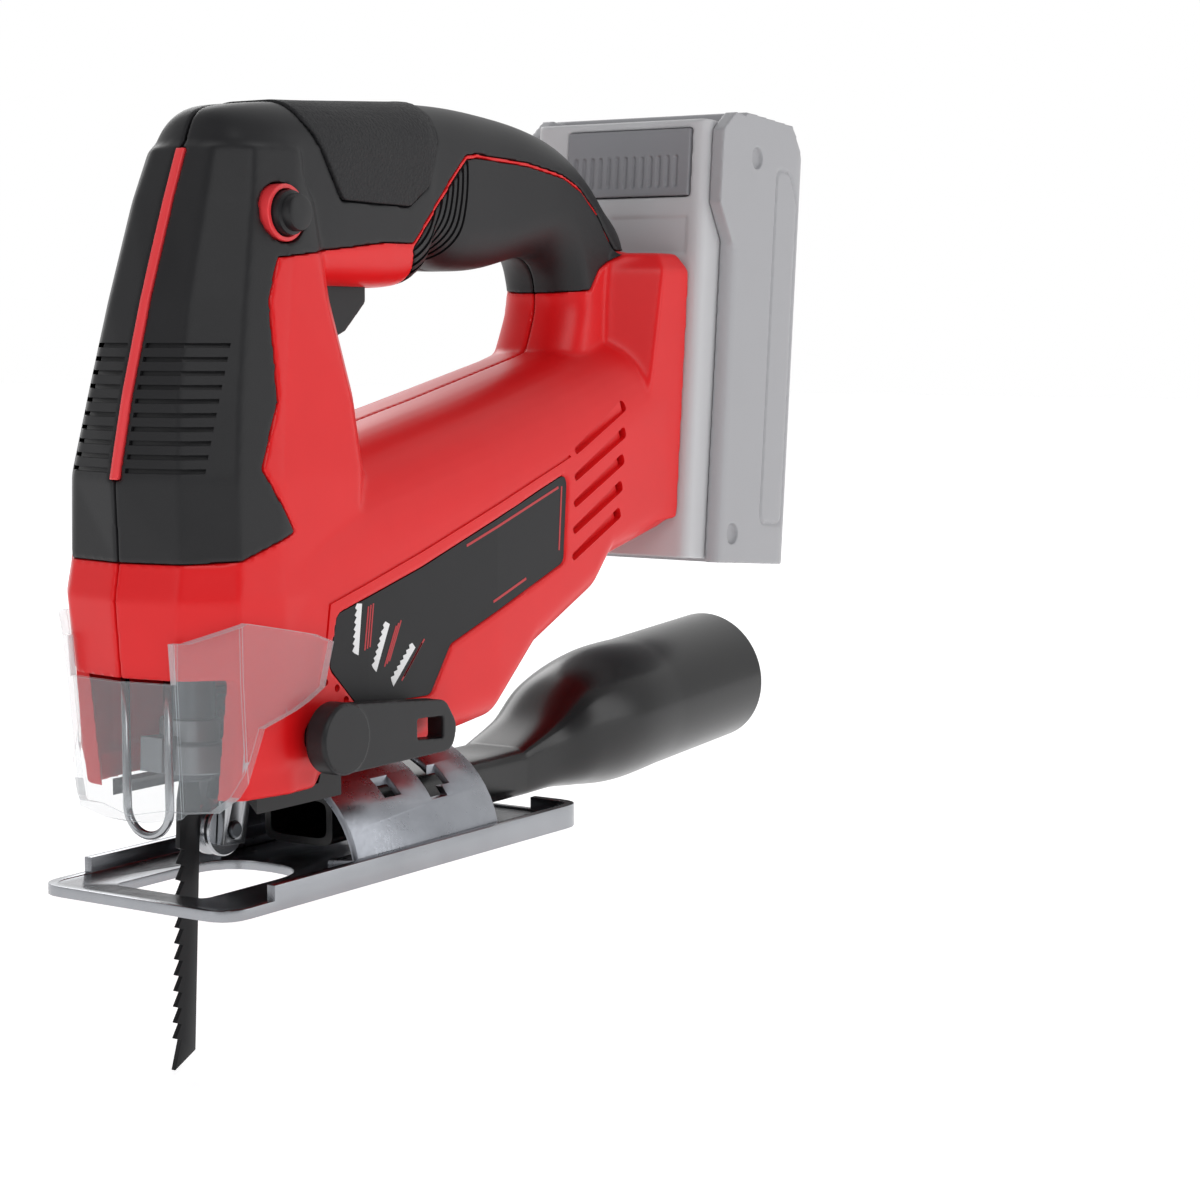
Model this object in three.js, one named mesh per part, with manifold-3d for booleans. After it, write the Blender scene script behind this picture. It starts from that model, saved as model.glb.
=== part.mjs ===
// Cordless jigsaw with a D-handle, a tilting pressed steel foot, a slide-on battery pack and a
// suction adapter. Millimetres. +X runs from the nose to the battery, +Y to the tool's right side
// and +Z up. The origin is the centre of the foot's underside.
import * as THREE from 'three';
import { mergeVertices } from 'three/addons/utils/BufferGeometryUtils.js';
import Module from 'manifold-3d';

const wasm = await Module();
wasm.setup();

// ---- driving dimensions -------------------------------------------------------------------------
const gap = 0.3; // between pieces that touch

// foot
const footLength = 151.5;
const footWidth = 63.5;
const footSheet = 2.5;
const footLip = 6.5;
const footCorner = 8;
const windowHalfWidth = 15;
const windowFront = 10; // width of the bar in front of the blade window
const windowBack = -24; // rear end of the blade window
const tiltZ = 0; // the tilt axis lies in the sole
const saddleRadius = 28.8;
const saddleSheet = 2;
const saddleFront = -22;
const saddleLength = 61;
const tiltLimit = 45; // degrees each way
const tiltBoltX = 18;
const tiltBoltRadius = 3;

// blade line
const bladeX = -55.4; // middle of the blade at the sole
const bladeLean = 3; // degrees, the top leans back
const bladeWidth = 7.4;
const bladeThickness = 1.4;
const bladeReach = 44; // below the sole
const toothPitch = 4;
const toothDepth = 2;
const clampBottom = 29;
const clampTop = 56;
const clampRadius = 6;
const collarBottom = 31;
const collarTop = 38.5;
const collarRadius = 9.5;
const plungerRadius = 4.5;
const plungerTop = 151;
const bushWall = 2.5;
const lowerBush = [77, 86];
const upperBush = [138, 147];
const rollerRadius = 7;
const rollerZ = 15;
const forkPivot = [-37, 46];
const forkPinRadius = 2;

// housing
const wall = 2.6;
const bodyHalfWidth = 31;
const padRise = 0.6; // the grip pad stands proud of the handle
const screwRadius = 1.5;
const screwHeadRadius = 3;
const bossRadius = 4;
const mouthZ = 57; // lower edge of the nose above the blade
const mouthBack = -65;

// controls
const triggerTravel = 6;
const lockButtonRadius = 5.5;
const lockButton = [-40.5, 168.8];
const leverHub = [-40.5, 40.6];
const leverHubRadius = 9;
const leverLength = 45;
const leverShaftRadius = 4;

// drive
const motorRadius = 19;
const motorFront = -6;
const motorLength = 56;
const motorZ = 86;
const canWall = 2;
const coreRadius = motorRadius - canWall - 4;
const shaftRadius = 2.5;
const toothModule = 1.1;
const pinionTeeth = 8;
const gearTeeth = 40;
const gearFront = -36;
const gearWidth = 6.5;
const eccentric = 10; // half the stroke
const eccentricPinRadius = 4;
const fanRadius = motorRadius - canWall - 1.5;

// battery pack
const packWidth = 71;
const packDepth = 57;
const packHeight = 137;
const packBottom = 71;
const packLean = 5; // degrees, the top leans back
const packWall = 2.5;
const spineHalfWidth = 22;
const spineDepth = 7;
const spineBottom = 20.4;
const spineTop = 88;
const cellRadius = 10.6;

// suction adapter
const hoseRadius = 20.7;
const hoseWall = 2;
const hoseTilt = 4; // degrees, the round end rises
const tubeHalfWidth = 11.5;
const tubeHeight = 14;
const tubeZ = 12.6;
const tubeFront = -12;

// ---- materials ----------------------------------------------------------------------------------
function finish(color, roughness, metalness) {
  return new THREE.MeshStandardMaterial({ color, roughness, metalness });
}
const redPlastic = finish(0xe2201f, 0.35, 0);
const blackPlastic = finish(0x242426, 0.55, 0);
const softGrip = finish(0x1f1f20, 0.8, 0);
const grainPad = finish(0x151516, 0.95, 0);
const steel = finish(0xb9bcc0, 0.25, 1);
const darkSteel = finish(0x55585c, 0.4, 1);
const bladeBlack = finish(0x1a1a1c, 0.4, 0.6);
const clearPlastic = new THREE.MeshStandardMaterial({
  color: 0xe8eef0,
  roughness: 0.08,
  metalness: 0,
  transparent: true,
  opacity: 0.35,
});
const glossBlack = finish(0x0d0d0e, 0.15, 0);
const packGrey = finish(0xc9c9c9, 0.5, 0);
const packDark = finish(0xa6a6a6, 0.55, 0);
const copper = finish(0xb87040, 0.35, 1);

// ---- shape helpers ------------------------------------------------------------------------------
function solidOf(geometry) {
  const bare = geometry.index ? geometry.clone() : geometry;
  bare.deleteAttribute('normal');
  bare.deleteAttribute('uv');
  const merged = mergeVertices(bare, 1e-4);
  return new wasm.Manifold(
    new wasm.Mesh({
      numProp: 3,
      vertProperties: new Float32Array(merged.attributes.position.array),
      triVerts: new Uint32Array(merged.index.array),
    }),
  );
}

function geometryOf(solid) {
  const mesh = solid.getMesh();
  const geometry = new THREE.BufferGeometry();
  geometry.setAttribute('position', new THREE.BufferAttribute(mesh.vertProperties, 3));
  geometry.setIndex(new THREE.BufferAttribute(mesh.triVerts, 1));
  const flat = geometry.toNonIndexed();
  flat.computeVertexNormals();
  return flat;
}

function shapeOf(points) {
  return new THREE.Shape(points.map(([a, b]) => new THREE.Vector2(a, b)));
}

// Closed outline whose corners are rounded; a point is [a, b] or [a, b, radius].
function rounded(points, steps = 4) {
  const out = [];
  const count = points.length;
  for (let i = 0; i < count; i += 1) {
    const [x, y, radius = 0] = points[i];
    if (radius === 0) {
      out.push([x, y]);
      continue;
    }
    const here = new THREE.Vector2(x, y);
    const before = new THREE.Vector2(...points[(i + count - 1) % count].slice(0, 2)).sub(here);
    const after = new THREE.Vector2(...points[(i + 1) % count].slice(0, 2)).sub(here);
    const half = Math.acos(before.clone().normalize().dot(after.clone().normalize())) / 2;
    const cut = Math.min(radius / Math.tan(half), before.length() * 0.49, after.length() * 0.49);
    const start = here.clone().add(before.setLength(cut));
    const end = here.clone().add(after.setLength(cut));
    for (const point of new THREE.QuadraticBezierCurve(start, here, end).getPoints(steps)) {
      out.push([point.x, point.y]);
    }
  }
  return out;
}

// The outline moved outwards by a distance, corner by corner.
function grown(points, distance) {
  const flat = points.map(([x, y]) => new THREE.Vector2(x, y));
  const side = Math.sign(THREE.ShapeUtils.area(flat));
  return flat.map((here, i) => {
    const a = here.clone().sub(flat[(i + flat.length - 1) % flat.length]).normalize();
    const b = flat[(i + 1) % flat.length].clone().sub(here).normalize();
    const normal = new THREE.Vector2(a.y + b.y, -a.x - b.x).normalize();
    const stretch = distance / Math.max(0.4, normal.dot(new THREE.Vector2(a.y, -a.x)));
    return [here.x + side * normal.x * stretch, here.y + side * normal.y * stretch];
  });
}

// Side outline [x, z] extruded across the tool from y0 to y1.
function sideSlab(points, y0, y1) {
  const geometry = new THREE.ExtrudeGeometry(shapeOf(points), { depth: y1 - y0, bevelEnabled: false });
  geometry.rotateX(Math.PI / 2);
  geometry.translate(0, y1, 0);
  return solidOf(geometry);
}

// Plan outline [x, y] extruded upwards from z0 to z1.
function planSlab(points, z0, z1, holes = []) {
  const shape = shapeOf(points);
  shape.holes = holes.map((hole) => new THREE.Path(shapeOf(hole).getPoints()));
  const geometry = new THREE.ExtrudeGeometry(shape, { depth: z1 - z0, bevelEnabled: false });
  geometry.translate(0, 0, z0);
  return solidOf(geometry);
}

// Front outline [y, z] extruded backwards from x0 to x1.
function frontSlab(points, x0, x1) {
  const geometry = new THREE.ExtrudeGeometry(shapeOf(points), { depth: x1 - x0, bevelEnabled: false });
  geometry.rotateY(Math.PI / 2);
  geometry.rotateX(Math.PI / 2);
  geometry.translate(x0, 0, 0);
  return solidOf(geometry);
}

function box(x0, x1, y0, y1, z0, z1) {
  const geometry = new THREE.BoxGeometry(x1 - x0, y1 - y0, z1 - z0);
  geometry.translate((x0 + x1) / 2, (y0 + y1) / 2, (z0 + z1) / 2);
  return solidOf(geometry);
}

// Cylinder along 'x', 'y' or 'z' from one coordinate to the other.
function rod(axis, from, to, radius, a, b, sides = 20, radiusTo = radius) {
  const geometry = new THREE.CylinderGeometry(radiusTo, radius, to - from, sides);
  if (axis === 'x') {
    geometry.rotateZ(-Math.PI / 2);
    geometry.translate((from + to) / 2, a, b);
  } else if (axis === 'y') {
    geometry.translate(a, (from + to) / 2, b);
  } else {
    geometry.rotateX(Math.PI / 2);
    geometry.translate(a, b, (from + to) / 2);
  }
  return solidOf(geometry);
}

// Closed body through rings of points that have the same count, with its faces pointing out.
function loft(rings) {
  const count = rings[0].length;
  const last = rings.length - 1;
  const middle = (ring) => ring.reduce((sum, p) => sum.map((s, k) => s + p[k] / count), [0, 0, 0]);
  const faces = [];
  for (let i = 0; i < count; i += 1) {
    const next = (i + 1) % count;
    for (let r = 0; r < last; r += 1) {
      faces.push([rings[r][i], rings[r][next], rings[r + 1][next]]);
      faces.push([rings[r][i], rings[r + 1][next], rings[r + 1][i]]);
    }
    faces.push([middle(rings[0]), rings[0][next], rings[0][i]]);
    faces.push([middle(rings[last]), rings[last][i], rings[last][next]]);
  }
  const vector = (p) => new THREE.Vector3(...p);
  const volume = faces.reduce((sum, [a, b, c]) => sum + vector(a).dot(vector(b).cross(vector(c))), 0);
  const turned = volume < 0 ? faces.map(([a, b, c]) => [a, c, b]) : faces;
  const geometry = new THREE.BufferGeometry();
  geometry.setAttribute('position', new THREE.Float32BufferAttribute(turned.flat(2), 3));
  return solidOf(geometry);
}

function joined(...solids) {
  return solids.reduce((sum, solid) => sum.add(solid));
}

function placed(solid, matrix) {
  return solidOf(geometryOf(solid).applyMatrix4(matrix));
}

// Frame that leans back by an angle about a point of the side view.
function leaningFrame(degrees, x, z) {
  const turn = new THREE.Matrix4().makeRotationY(THREE.MathUtils.degToRad(degrees));
  return new THREE.Matrix4().makeTranslation(x, 0, z).multiply(turn);
}
const bladeFrame = leaningFrame(bladeLean, bladeX, 0);

// ---- the outer form of the housing --------------------------------------------------------------
const cornerSteps = 4;

// Rounded section between an inner and an outer point of the side view, as a closed ring.
function sectionRing([ax, az], [bx, bz], halfWidth, radiusA, radiusB, shrink = 0) {
  const across = new THREE.Vector2(bx - ax, bz - az);
  const length = across.length();
  across.normalize();
  const start = shrink;
  const end = length - shrink;
  const half = halfWidth - shrink;
  const limit = Math.min(half, (end - start) / 2) - 0.5;
  const ring = [];
  const corners = [
    [start, -1, radiusA, true],
    [end, -1, radiusB, false],
    [end, 1, radiusB, true],
    [start, 1, radiusA, false],
  ];
  for (const [along, side, fullRadius, sideways] of corners) {
    const radius = Math.max(1, Math.min(fullRadius - shrink, limit));
    const inwards = along === start ? 1 : -1;
    for (let i = 0; i < cornerSteps; i += 1) {
      const turn = (i / (cornerSteps - 1)) * (Math.PI / 2);
      const alongPart = sideways ? Math.cos(turn) : Math.sin(turn);
      const widePart = sideways ? Math.sin(turn) : Math.cos(turn);
      const d = along + inwards * radius * (1 - alongPart);
      const y = side * (half - radius * (1 - widePart));
      ring.push([ax + across.x * d, y, az + across.y * d]);
    }
  }
  return ring;
}

// Nose column: level, front on the centre line, front facet [back, half], side facet [back, half],
// and the back, which is the hand opening's front wall.
const noseLevels = [
  [27, -74.5, [2.2, 15.5], [12, 26.5], -30],
  [57, -77.8, [2.6, 16.5], [12.5, 27.3], -20],
  [76, -79.4, [3, 18], [12.9, 28.2], -14],
  [84, -77.8, [3, 17.8], [12.6, 27.5], -12],
  [105, -78.6, [3.9, 17], [13.6, 27.1], -11],
  [124, -74, [2.5, 14.4], [12.7, 24.8], -12],
  [148, -66.7, [1.4, 12.6], [10.9, 22.4], -18],
  [172, -58.1, [0.5, 11.4], [8.5, 19.8], -20],
  [185.2, -52.8, [0.3, 9.8], [7, 17.3], -28],
];
const noseBelow = 6; // how far a hollow runs out below the nose
const noseSwell = 2.5; // the sides widen towards the back

function noseForm(shrink) {
  const rings = noseLevels.map(([z, front, [facetBack, facetHalf], [sideBack, sideHalf], back], i) => {
    const half = sideHalf - shrink;
    const x = front + shrink;
    const rear = back - shrink;
    const level = i === noseLevels.length - 1 ? z - shrink : z;
    const outline = [
      [x, 0],
      [x + facetBack, facetHalf - shrink * 0.5],
      [x + sideBack, half],
      [x + sideBack + 14, half + noseSwell],
      [rear - 9, half + noseSwell - 1],
      [rear - 2.5, half - 3],
      [rear, half - 9],
    ];
    const mirrored = outline.slice(1).reverse();
    return [...outline.map(([a, b]) => [a, b, level]), ...mirrored.map(([a, b]) => [a, -b, level])];
  });
  if (shrink > 0) {
    rings.unshift(rings[0].map(([x, y, z]) => [x, y, z - noseBelow]));
  }
  return loft(rings);
}

// Lower body that holds the motor: x, underside, top, half-width.
const bodyStations = [
  [-64, 29, 96, 0.88],
  [-52, 29.5, 102, 0.97],
  [-20, 30, 109, 1],
  [24, 34, 118.5, 1],
  [36, 35.5, 121, 1],
  [56, 52, 125.5, 0.98],
  [87, 65, 132.5, 0.95],
  [96, 74, 135, 0.94],
  [129, 81, 145, 0.9],
  [132.2, 85, 148, 0.88],
];
const bellyRound = 8;
const shoulderRound = 25;

function bodyForm(shrink) {
  const rings = bodyStations.map(([x, low, high, share], i) => {
    const ends = { 0: shrink, [bodyStations.length - 1]: -shrink };
    const at = x + (ends[i] ?? 0);
    return sectionRing([at, low], [at, high], bodyHalfWidth * share, bellyRound, shoulderRound, shrink);
  });
  return loft(rings);
}

// Handle: point on the hand opening's side, point on the outside, half-width.
const handleStations = [
  [-50, 162, -51.5, 187, 12],
  [-46, 156, -47, 194, 15],
  [-34, 152, -34, 196.6, 18.5],
  [-14, 151.5, -14, 197.8, 19.5],
  [21, 152, 20, 200, 18],
  [29, 159.5, 28, 200.6, 17],
  [44, 156.6, 44, 200.8, 16.5],
  [60, 157, 60, 200, 16],
  [78, 160.3, 78, 198, 16],
  [89, 161, 94, 194.5, 15.5],
  [95, 157.5, 107, 188.5, 15],
  [97, 151, 119, 179.5, 14.5],
  [96, 143, 131, 165, 14.5],
  [89, 127, 118, 134, 16],
];
const gripRoundInner = 12;
const gripRoundOuter = 13;

function handleForm(shrink) {
  const last = handleStations.length - 1;
  return loft(
    handleStations.map(([ax, az, bx, bz, half], i) => {
      const move = i === 0 ? shrink : 0;
      const rise = i === last ? shrink : 0;
      const inner = [ax + move, az + rise];
      const outer = [bx + move, bz + rise];
      return sectionRing(inner, outer, half, gripRoundInner, gripRoundOuter, shrink);
    }),
  );
}

// Battery seat behind the handle: level and the front of its flare. Its back leans with the pack.
const lean = Math.tan((packLean * Math.PI) / 180);
const seatX = 131.5; // back face at the pack's lower end
const packFrame = leaningFrame(packLean, seatX, packBottom);
const seatLevels = [
  [84, 100],
  [120, 106],
  [158, 114],
  [163, 116],
];
const seatHalfWidth = 28;
const seatFoot = 13; // half-width where the flare leaves the column
const seatChamfer = 3;

function seatForm(shrink) {
  const rings = seatLevels.map(([z, front], i) => {
    const top = i === seatLevels.length - 1;
    const x = front + shrink;
    const back = seatX + (z - packBottom) * lean - (top ? seatChamfer : 0) - shrink;
    const half = seatHalfWidth - shrink - (top ? seatChamfer : 0);
    const level = z + (i === 0 ? shrink : 0) - (top ? shrink : 0);
    const outline = [
      [x, seatFoot - shrink],
      [x + 10, half],
      [back, half],
    ];
    const near = outline.map(([a, b]) => [a, -b, level]).reverse();
    return [...outline.map(([a, b]) => [a, b, level]), ...near];
  });
  return loft(rings);
}

function outerForm(shrink) {
  return joined(noseForm(shrink), bodyForm(shrink), handleForm(shrink), seatForm(shrink));
}

const group = new THREE.Group();
function add(name, solid, material) {
  const mesh = new THREE.Mesh(geometryOf(solid), material);
  mesh.name = name;
  group.add(mesh);
}

// ---- housing shells -----------------------------------------------------------------------------
const far = 60; // beyond every half-width
const leftHalf = box(-200, 260, -far, -gap / 2, -80, 260);
const rightHalf = box(-200, 260, gap / 2, far, -80, 260);
const outer = outerForm(0);
const inner = outerForm(wall);
const innerFit = outerForm(wall + gap);

// Black nose hood with the strip along the top of the handle, and the rear grip below the inlay.
const inlayLine = [
  [16, 163],
  [42, 187.3],
  [47, 188],
  [71, 187],
  [90, 184.5],
  [100, 181],
  [109.5, 174],
  [119, 163.6],
];
const inlayWidth = 1.3;
const hoodRegion = [
  [-95, 84],
  [-64, 85.5],
  [-47, 91.5],
  [-57, 107],
  [-49.5, 123.5],
  [-48.5, 147.6],
  [-44, 158],
  [3, 162.8],
  ...inlayLine,
  [160, 163.6],
  [160, 215],
  [-95, 215],
];
const gripRegion = [
  ...inlayLine.map(([x, z]) => [x + 0.4, z - inlayWidth]),
  [110.5, 158],
  [106, 152],
  [78, 149.3],
  [60, 140],
  [30, 140],
  [23, 148],
];
const inlayRegion = [...inlayLine, ...inlayLine.map(([x, z]) => [x + 0.4, z - inlayWidth]).reverse()];
const labelOutline = [
  [71, 100.5],
  [69, 75.5],
  [14.6, 58],
  [5.5, 45.5],
  [-24, 46],
  [-35, 57],
  [-32, 70],
  [2.3, 79],
];
const padOutline = [
  [-31, 215],
  [-27, 192],
  [-15, 173],
  [14, 172.5],
  [23, 178],
  [28, 190],
  [30, 215],
];

const screwPlaces = [
  [-28, 156],
  [2, 50],
  [72, 80],
  [113, 100],
];
const screwTip = -12;
const screwHeadDepth = 4;

// Recess that takes the pack's spine, open at its top.
const spineRoom = (extra) =>
  placed(
    box(-spineDepth - extra, 20, -spineHalfWidth - extra, spineHalfWidth + extra, 14 - extra, 120),
    packFrame,
  );
// Cradle above the saddle, on the tilt axis.
const cradleRadius = Math.hypot(footWidth / 2, footLip - tiltZ) + 0.5;
const cradle = (extra) =>
  rod('x', saddleFront - 1 - extra, footLength / 2 + 40, cradleRadius + extra, 0, tiltZ, 36);

function bosses() {
  return joined(...screwPlaces.map(([x, z]) => rod('y', -far, far, bossRadius, x, z, 14)));
}
function screwHoles() {
  const shanks = screwPlaces.map(([x, z]) => rod('y', screwTip - gap, far, screwRadius + gap, x, z, 10));
  const heads = screwPlaces.map(([x, z]) =>
    rod('y', screwHeadY(x) - gap, far, screwHeadRadius + gap, x, z, 14),
  );
  return joined(...shanks, ...heads);
}
function screwHeadY(x) {
  return x < 0 ? 15 : 20;
}


// Webs that hold the motor, the plunger's bushes, the fork's pin and the finger guard.
const motorRibs = [motorFront + 6, motorFront + motorLength - 12];
const ribThickness = 2.4;
const bushRadius = plungerRadius + gap + bushWall;
const onBlade = (solid) => placed(solid, bladeFrame);
const wireX = -68.5;
const wireHalf = 7;
const wireRadius = 1.1;
const wireLow = 17;
const wireTop = 62;
function webs() {
  const ribs = motorRibs.map((x) => box(x, x + ribThickness, -far, far, 50, 140));
  const bushWebs = [lowerBush, upperBush].map(([z0, z1]) => box(-9.5, 9.5, -far, far, z0 + 2, z1 - 2));
  const pinBosses = [-far, 9.5].map((y) => rod('y', y, y + far - 9.5, 5, ...forkPivot, 14));
  const sockets = [-1, 1].map((side) => {
    const [near, away] = [wireHalf - 2.6, wireHalf + 3.4].map((y) => y * side);
    return box(-80, wireX + 2.6, Math.min(near, away), Math.max(near, away), mouthZ, wireTop + 2);
  });
  return joined(...ribs, ...pinBosses, ...sockets).add(onBlade(joined(...bushWebs)));
}
function webHoles() {
  const can = rod('x', motorFront - 1, motorFront + motorLength + 12, motorRadius + gap, 0, motorZ, 24);
  const bush = onBlade(rod('z', 60, 160, bushRadius + gap, 0, 0, 16));
  const pin = rod('y', -20, 20, forkPinRadius + gap, ...forkPivot, 10);
  const wires = [-1, 1].map((s) => rod('z', 20, wireTop + gap, wireRadius + gap, wireX, s * wireHalf, 10));
  return joined(can, bush, pin, ...wires);
}
const cradleSeat = box(saddleFront + 4, saddleFront + saddleLength - 6, -12, 12, 10, 34).subtract(
  rod('x', -60, 60, saddleRadius + gap, 0, tiltZ, 48),
);
const boltHole = rod('z', 10, 46, tiltBoltRadius + gap, tiltBoltX, 0, 14);
const boltTop = 43;
const nutRoom = (extra) =>
  box(-8 - extra, 8 + extra, -9 - extra, 9 + extra, -6 - extra, extra - 2).translate([
    tiltBoltX,
    0,
    boltTop,
  ]);

const lined = outer
  .subtract(inner)
  .add(joined(bosses(), webs()).intersect(outerForm(1)))
  .add(spineRoom(wall + gap).intersect(outer))
  .add(cradle(wall).intersect(outer));
const mouth = box(-100, mouthBack, -far, far, 0, mouthZ);
const triggerSlot = box(-14, 11, -8, 8, 140, 160);
const lockHole = rod('y', -far, 0, lockButtonRadius + 1.6 + gap, ...lockButton, 18);
const leverHole = rod('y', -far, -13, leverShaftRadius + gap, ...leverHub, 16);
const shells = lined
  .subtract(spineRoom(gap))
  .subtract(webHoles())
  .subtract(cradle(0))
  .add(cradleSeat)
  .subtract(boltHole)
  .subtract(nutRoom(gap))
  .subtract(mouth)
  .subtract(triggerSlot)
  .subtract(lockHole)
  .subtract(leverHole)
  .subtract(screwHoles());

const hoodPrism = sideSlab(hoodRegion, -far, far);
const hoodCut = sideSlab(grown(hoodRegion, gap), -far, far);
const gripPrism = sideSlab(gripRegion, -far, far);
const gripCut = sideSlab(grown(gripRegion, gap), -far, far);
const inlayPrism = sideSlab(inlayRegion, -far, far);
const stripePrism = box(-95, -44, -1.4, 1.4, 104.8, 188.5);
const stripeCut = box(-95, -44, -1.4 - gap, 1.4 + gap, 104.8 - gap, 188.5 + gap);
const padPrism = sideSlab(padOutline, -far, far);
const padCut = sideSlab(grown(padOutline, gap), -far, far);
const labelPrism = sideSlab(labelOutline, -far, far);
const labelCut = sideSlab(grown(labelOutline, gap), -far, far);
const padFloor = 1.4;
const labelFloor = 1.3;

// Five slanted cooling slots behind the label on each side.
const slotCount = 5;
const slotPitch = 7.6;
const slotLength = 31;
const slotHeight = 3;
const slotRise = 24; // degrees
function coolingSlots() {
  const bars = [];
  for (let i = 0; i < slotCount; i += 1) {
    const bar = new THREE.BoxGeometry(slotLength - i * 0.6, 2 * far, slotHeight);
    bar.rotateY(-THREE.MathUtils.degToRad(slotRise));
    bar.translate(90 - i * 0.7, 0, 113 - i * slotPitch);
    bars.push(solidOf(bar));
  }
  return joined(...bars).subtract(box(-200, 260, -18, 18, -80, 260));
}

const red = shells
  .subtract(hoodCut)
  .subtract(gripCut)
  .subtract(labelCut.subtract(outerForm(labelFloor)))
  .subtract(coolingSlots());
const grooved = shells
  .intersect(hoodPrism)
  .subtract(inlayPrism)
  .subtract(stripeCut.subtract(outerForm(padFloor)))
  .subtract(padCut.subtract(outerForm(padFloor)));
const grips = shells.intersect(gripPrism).subtract(hoodCut);
add('housing_left', red.intersect(leftHalf), redPlastic);
add('housing_right', red.intersect(rightHalf), redPlastic);
add('hood_left', grooved.intersect(leftHalf), softGrip);
add('hood_right', grooved.intersect(rightHalf), softGrip);
add('rear_grip_left', grips.intersect(leftHalf), softGrip);
add('rear_grip_right', grips.intersect(rightHalf), softGrip);
const padBack = outerForm(padFloor - gap);
add('nose_stripe', stripePrism.intersect(outerForm(-0.3)).subtract(padBack), redPlastic);
add('grip_pad', padPrism.intersect(outerForm(-padRise)).subtract(padBack), grainPad);
const labels = labelPrism.intersect(outerForm(0.1)).subtract(outerForm(labelFloor - gap));
add('label_left', labels.intersect(box(-200, 260, -far, -10, -80, 260)), blackPlastic);
add('label_right', labels.intersect(box(-200, 260, 10, far, -80, 260)), blackPlastic);


// Four screws from the right clamp the halves together.
screwPlaces.forEach(([x, z], i) => {
  const head = screwHeadY(x);
  const screw = rod('y', screwTip, head + 1, screwRadius, x, z, 10)
    .add(rod('y', head, head + screwHeadDepth, screwHeadRadius, x, z, 14))
    .subtract(rod('y', head + 2, head + 6, 1.4, x, z, 6));
  add(`housing_screw_${i + 1}`, screw, darkSteel);
});

// ---- drive --------------------------------------------------------------------------------------
const coreFront = motorFront + 8;
const coreLength = 32;
const canRear = motorFront + motorLength;
const can = rod('x', motorFront, canRear, motorRadius, 0, motorZ, 28)
  .subtract(rod('x', motorFront + canWall, canRear + 1, motorRadius - canWall, 0, motorZ, 28))
  .subtract(rod('x', motorFront - 1, motorFront + 5, 5, 0, motorZ, 16));
add('motor_can', can, darkSteel);
const endCap = rod('x', canRear + gap, canRear + 7, motorRadius, 0, motorZ, 28)
  .subtract(rod('x', canRear - 1, canRear + 5, 5 + gap, 0, motorZ, 16));
add('motor_end_cap', endCap, blackPlastic);
const rearBearing = rod('x', canRear + 0.5, canRear + 4.5, 5, 0, motorZ, 16)
  .subtract(rod('x', canRear, canRear + 5, shaftRadius + gap, 0, motorZ, 14));
add('rear_bearing', rearBearing, steel);

const shaftBore = rod('x', -60, 80, shaftRadius + gap, 0, motorZ, 14);
const core = rod('x', coreFront, coreFront + coreLength, coreRadius, 0, motorZ, 24)
  .add(rod('x', coreFront - 4, coreFront + coreLength + 4, coreRadius - 3, 0, motorZ, 18));
add('armature_core', core.subtract(shaftBore), copper);
const fanFront = coreFront + coreLength + 4.5;
let fan = rod('x', fanFront, fanFront + 5, 5, 0, motorZ, 16)
  .add(rod('x', fanFront + 3.8, fanFront + 5, fanRadius, 0, motorZ, 24));
for (let i = 0; i < 9; i += 1) {
  const vane = new THREE.BoxGeometry(4, 1, fanRadius - 5);
  vane.translate(fanFront + 2, 0, (fanRadius + 3.5) / 2);
  vane.rotateX((i / 9) * 2 * Math.PI);
  vane.translate(0, 0, motorZ);
  fan = fan.add(solidOf(vane));
}
add('cooling_fan', fan.subtract(shaftBore), blackPlastic);

// Spur wheel outline along X with the given number of teeth.
function toothedWheel(teeth, x0, x1, y, z, turn) {
  const pitch = (toothModule * teeth) / 2;
  const root = pitch - 1.25 * toothModule;
  const tip = pitch + 0.9 * toothModule;
  const points = [];
  for (let i = 0; i < teeth; i += 1) {
    for (const [part, radius] of [[-0.3, root], [-0.13, tip], [0.13, tip], [0.3, root]]) {
      const angle = ((i + part) / teeth) * 2 * Math.PI + turn;
      points.push([y + radius * Math.cos(angle), z + radius * Math.sin(angle)]);
    }
  }
  return frontSlab(points, x0, x1);
}
const gearZ = motorZ + (toothModule * (pinionTeeth + gearTeeth)) / 2;
const gearBack = gearFront + gearWidth;
const shaft = rod('x', gearBack - 0.5, canRear + 4.2, shaftRadius, 0, motorZ, 14)
  .add(toothedWheel(pinionTeeth, gearFront - 0.5, gearBack - 0.2, 0, motorZ, Math.PI / 2));
add('pinion_shaft', shaft, steel);
const wheel = toothedWheel(gearTeeth, gearFront, gearBack, 0, gearZ, -Math.PI / 2 + Math.PI / gearTeeth)
  .add(rod('x', gearFront - 4.5, gearFront + 1, eccentricPinRadius, 0, gearZ - eccentric, 16))
  .add(rod('x', gearBack - 1, gearBack + 8, 3, 0, gearZ, 14));
add('drive_gear', wheel, steel);

const caseFront = gearBack + 2.2;
const gearCase = box(caseFront, caseFront + 4.5, -far, far, 60, gearZ + 21)
  .intersect(innerFit)
  .subtract(rod('x', -60, 0, 6.5 + gap, 0, motorZ, 18))
  .subtract(rod('x', -60, 0, 3 + gap, 0, gearZ, 14));
add('gear_case', gearCase, darkSteel);
const frontBearing = rod('x', caseFront + 0.2, caseFront + 4.3, 6.5, 0, motorZ, 18)
  .subtract(rod('x', -60, 0, shaftRadius + gap, 0, motorZ, 14));
add('front_bearing', frontBearing, steel);

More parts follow.
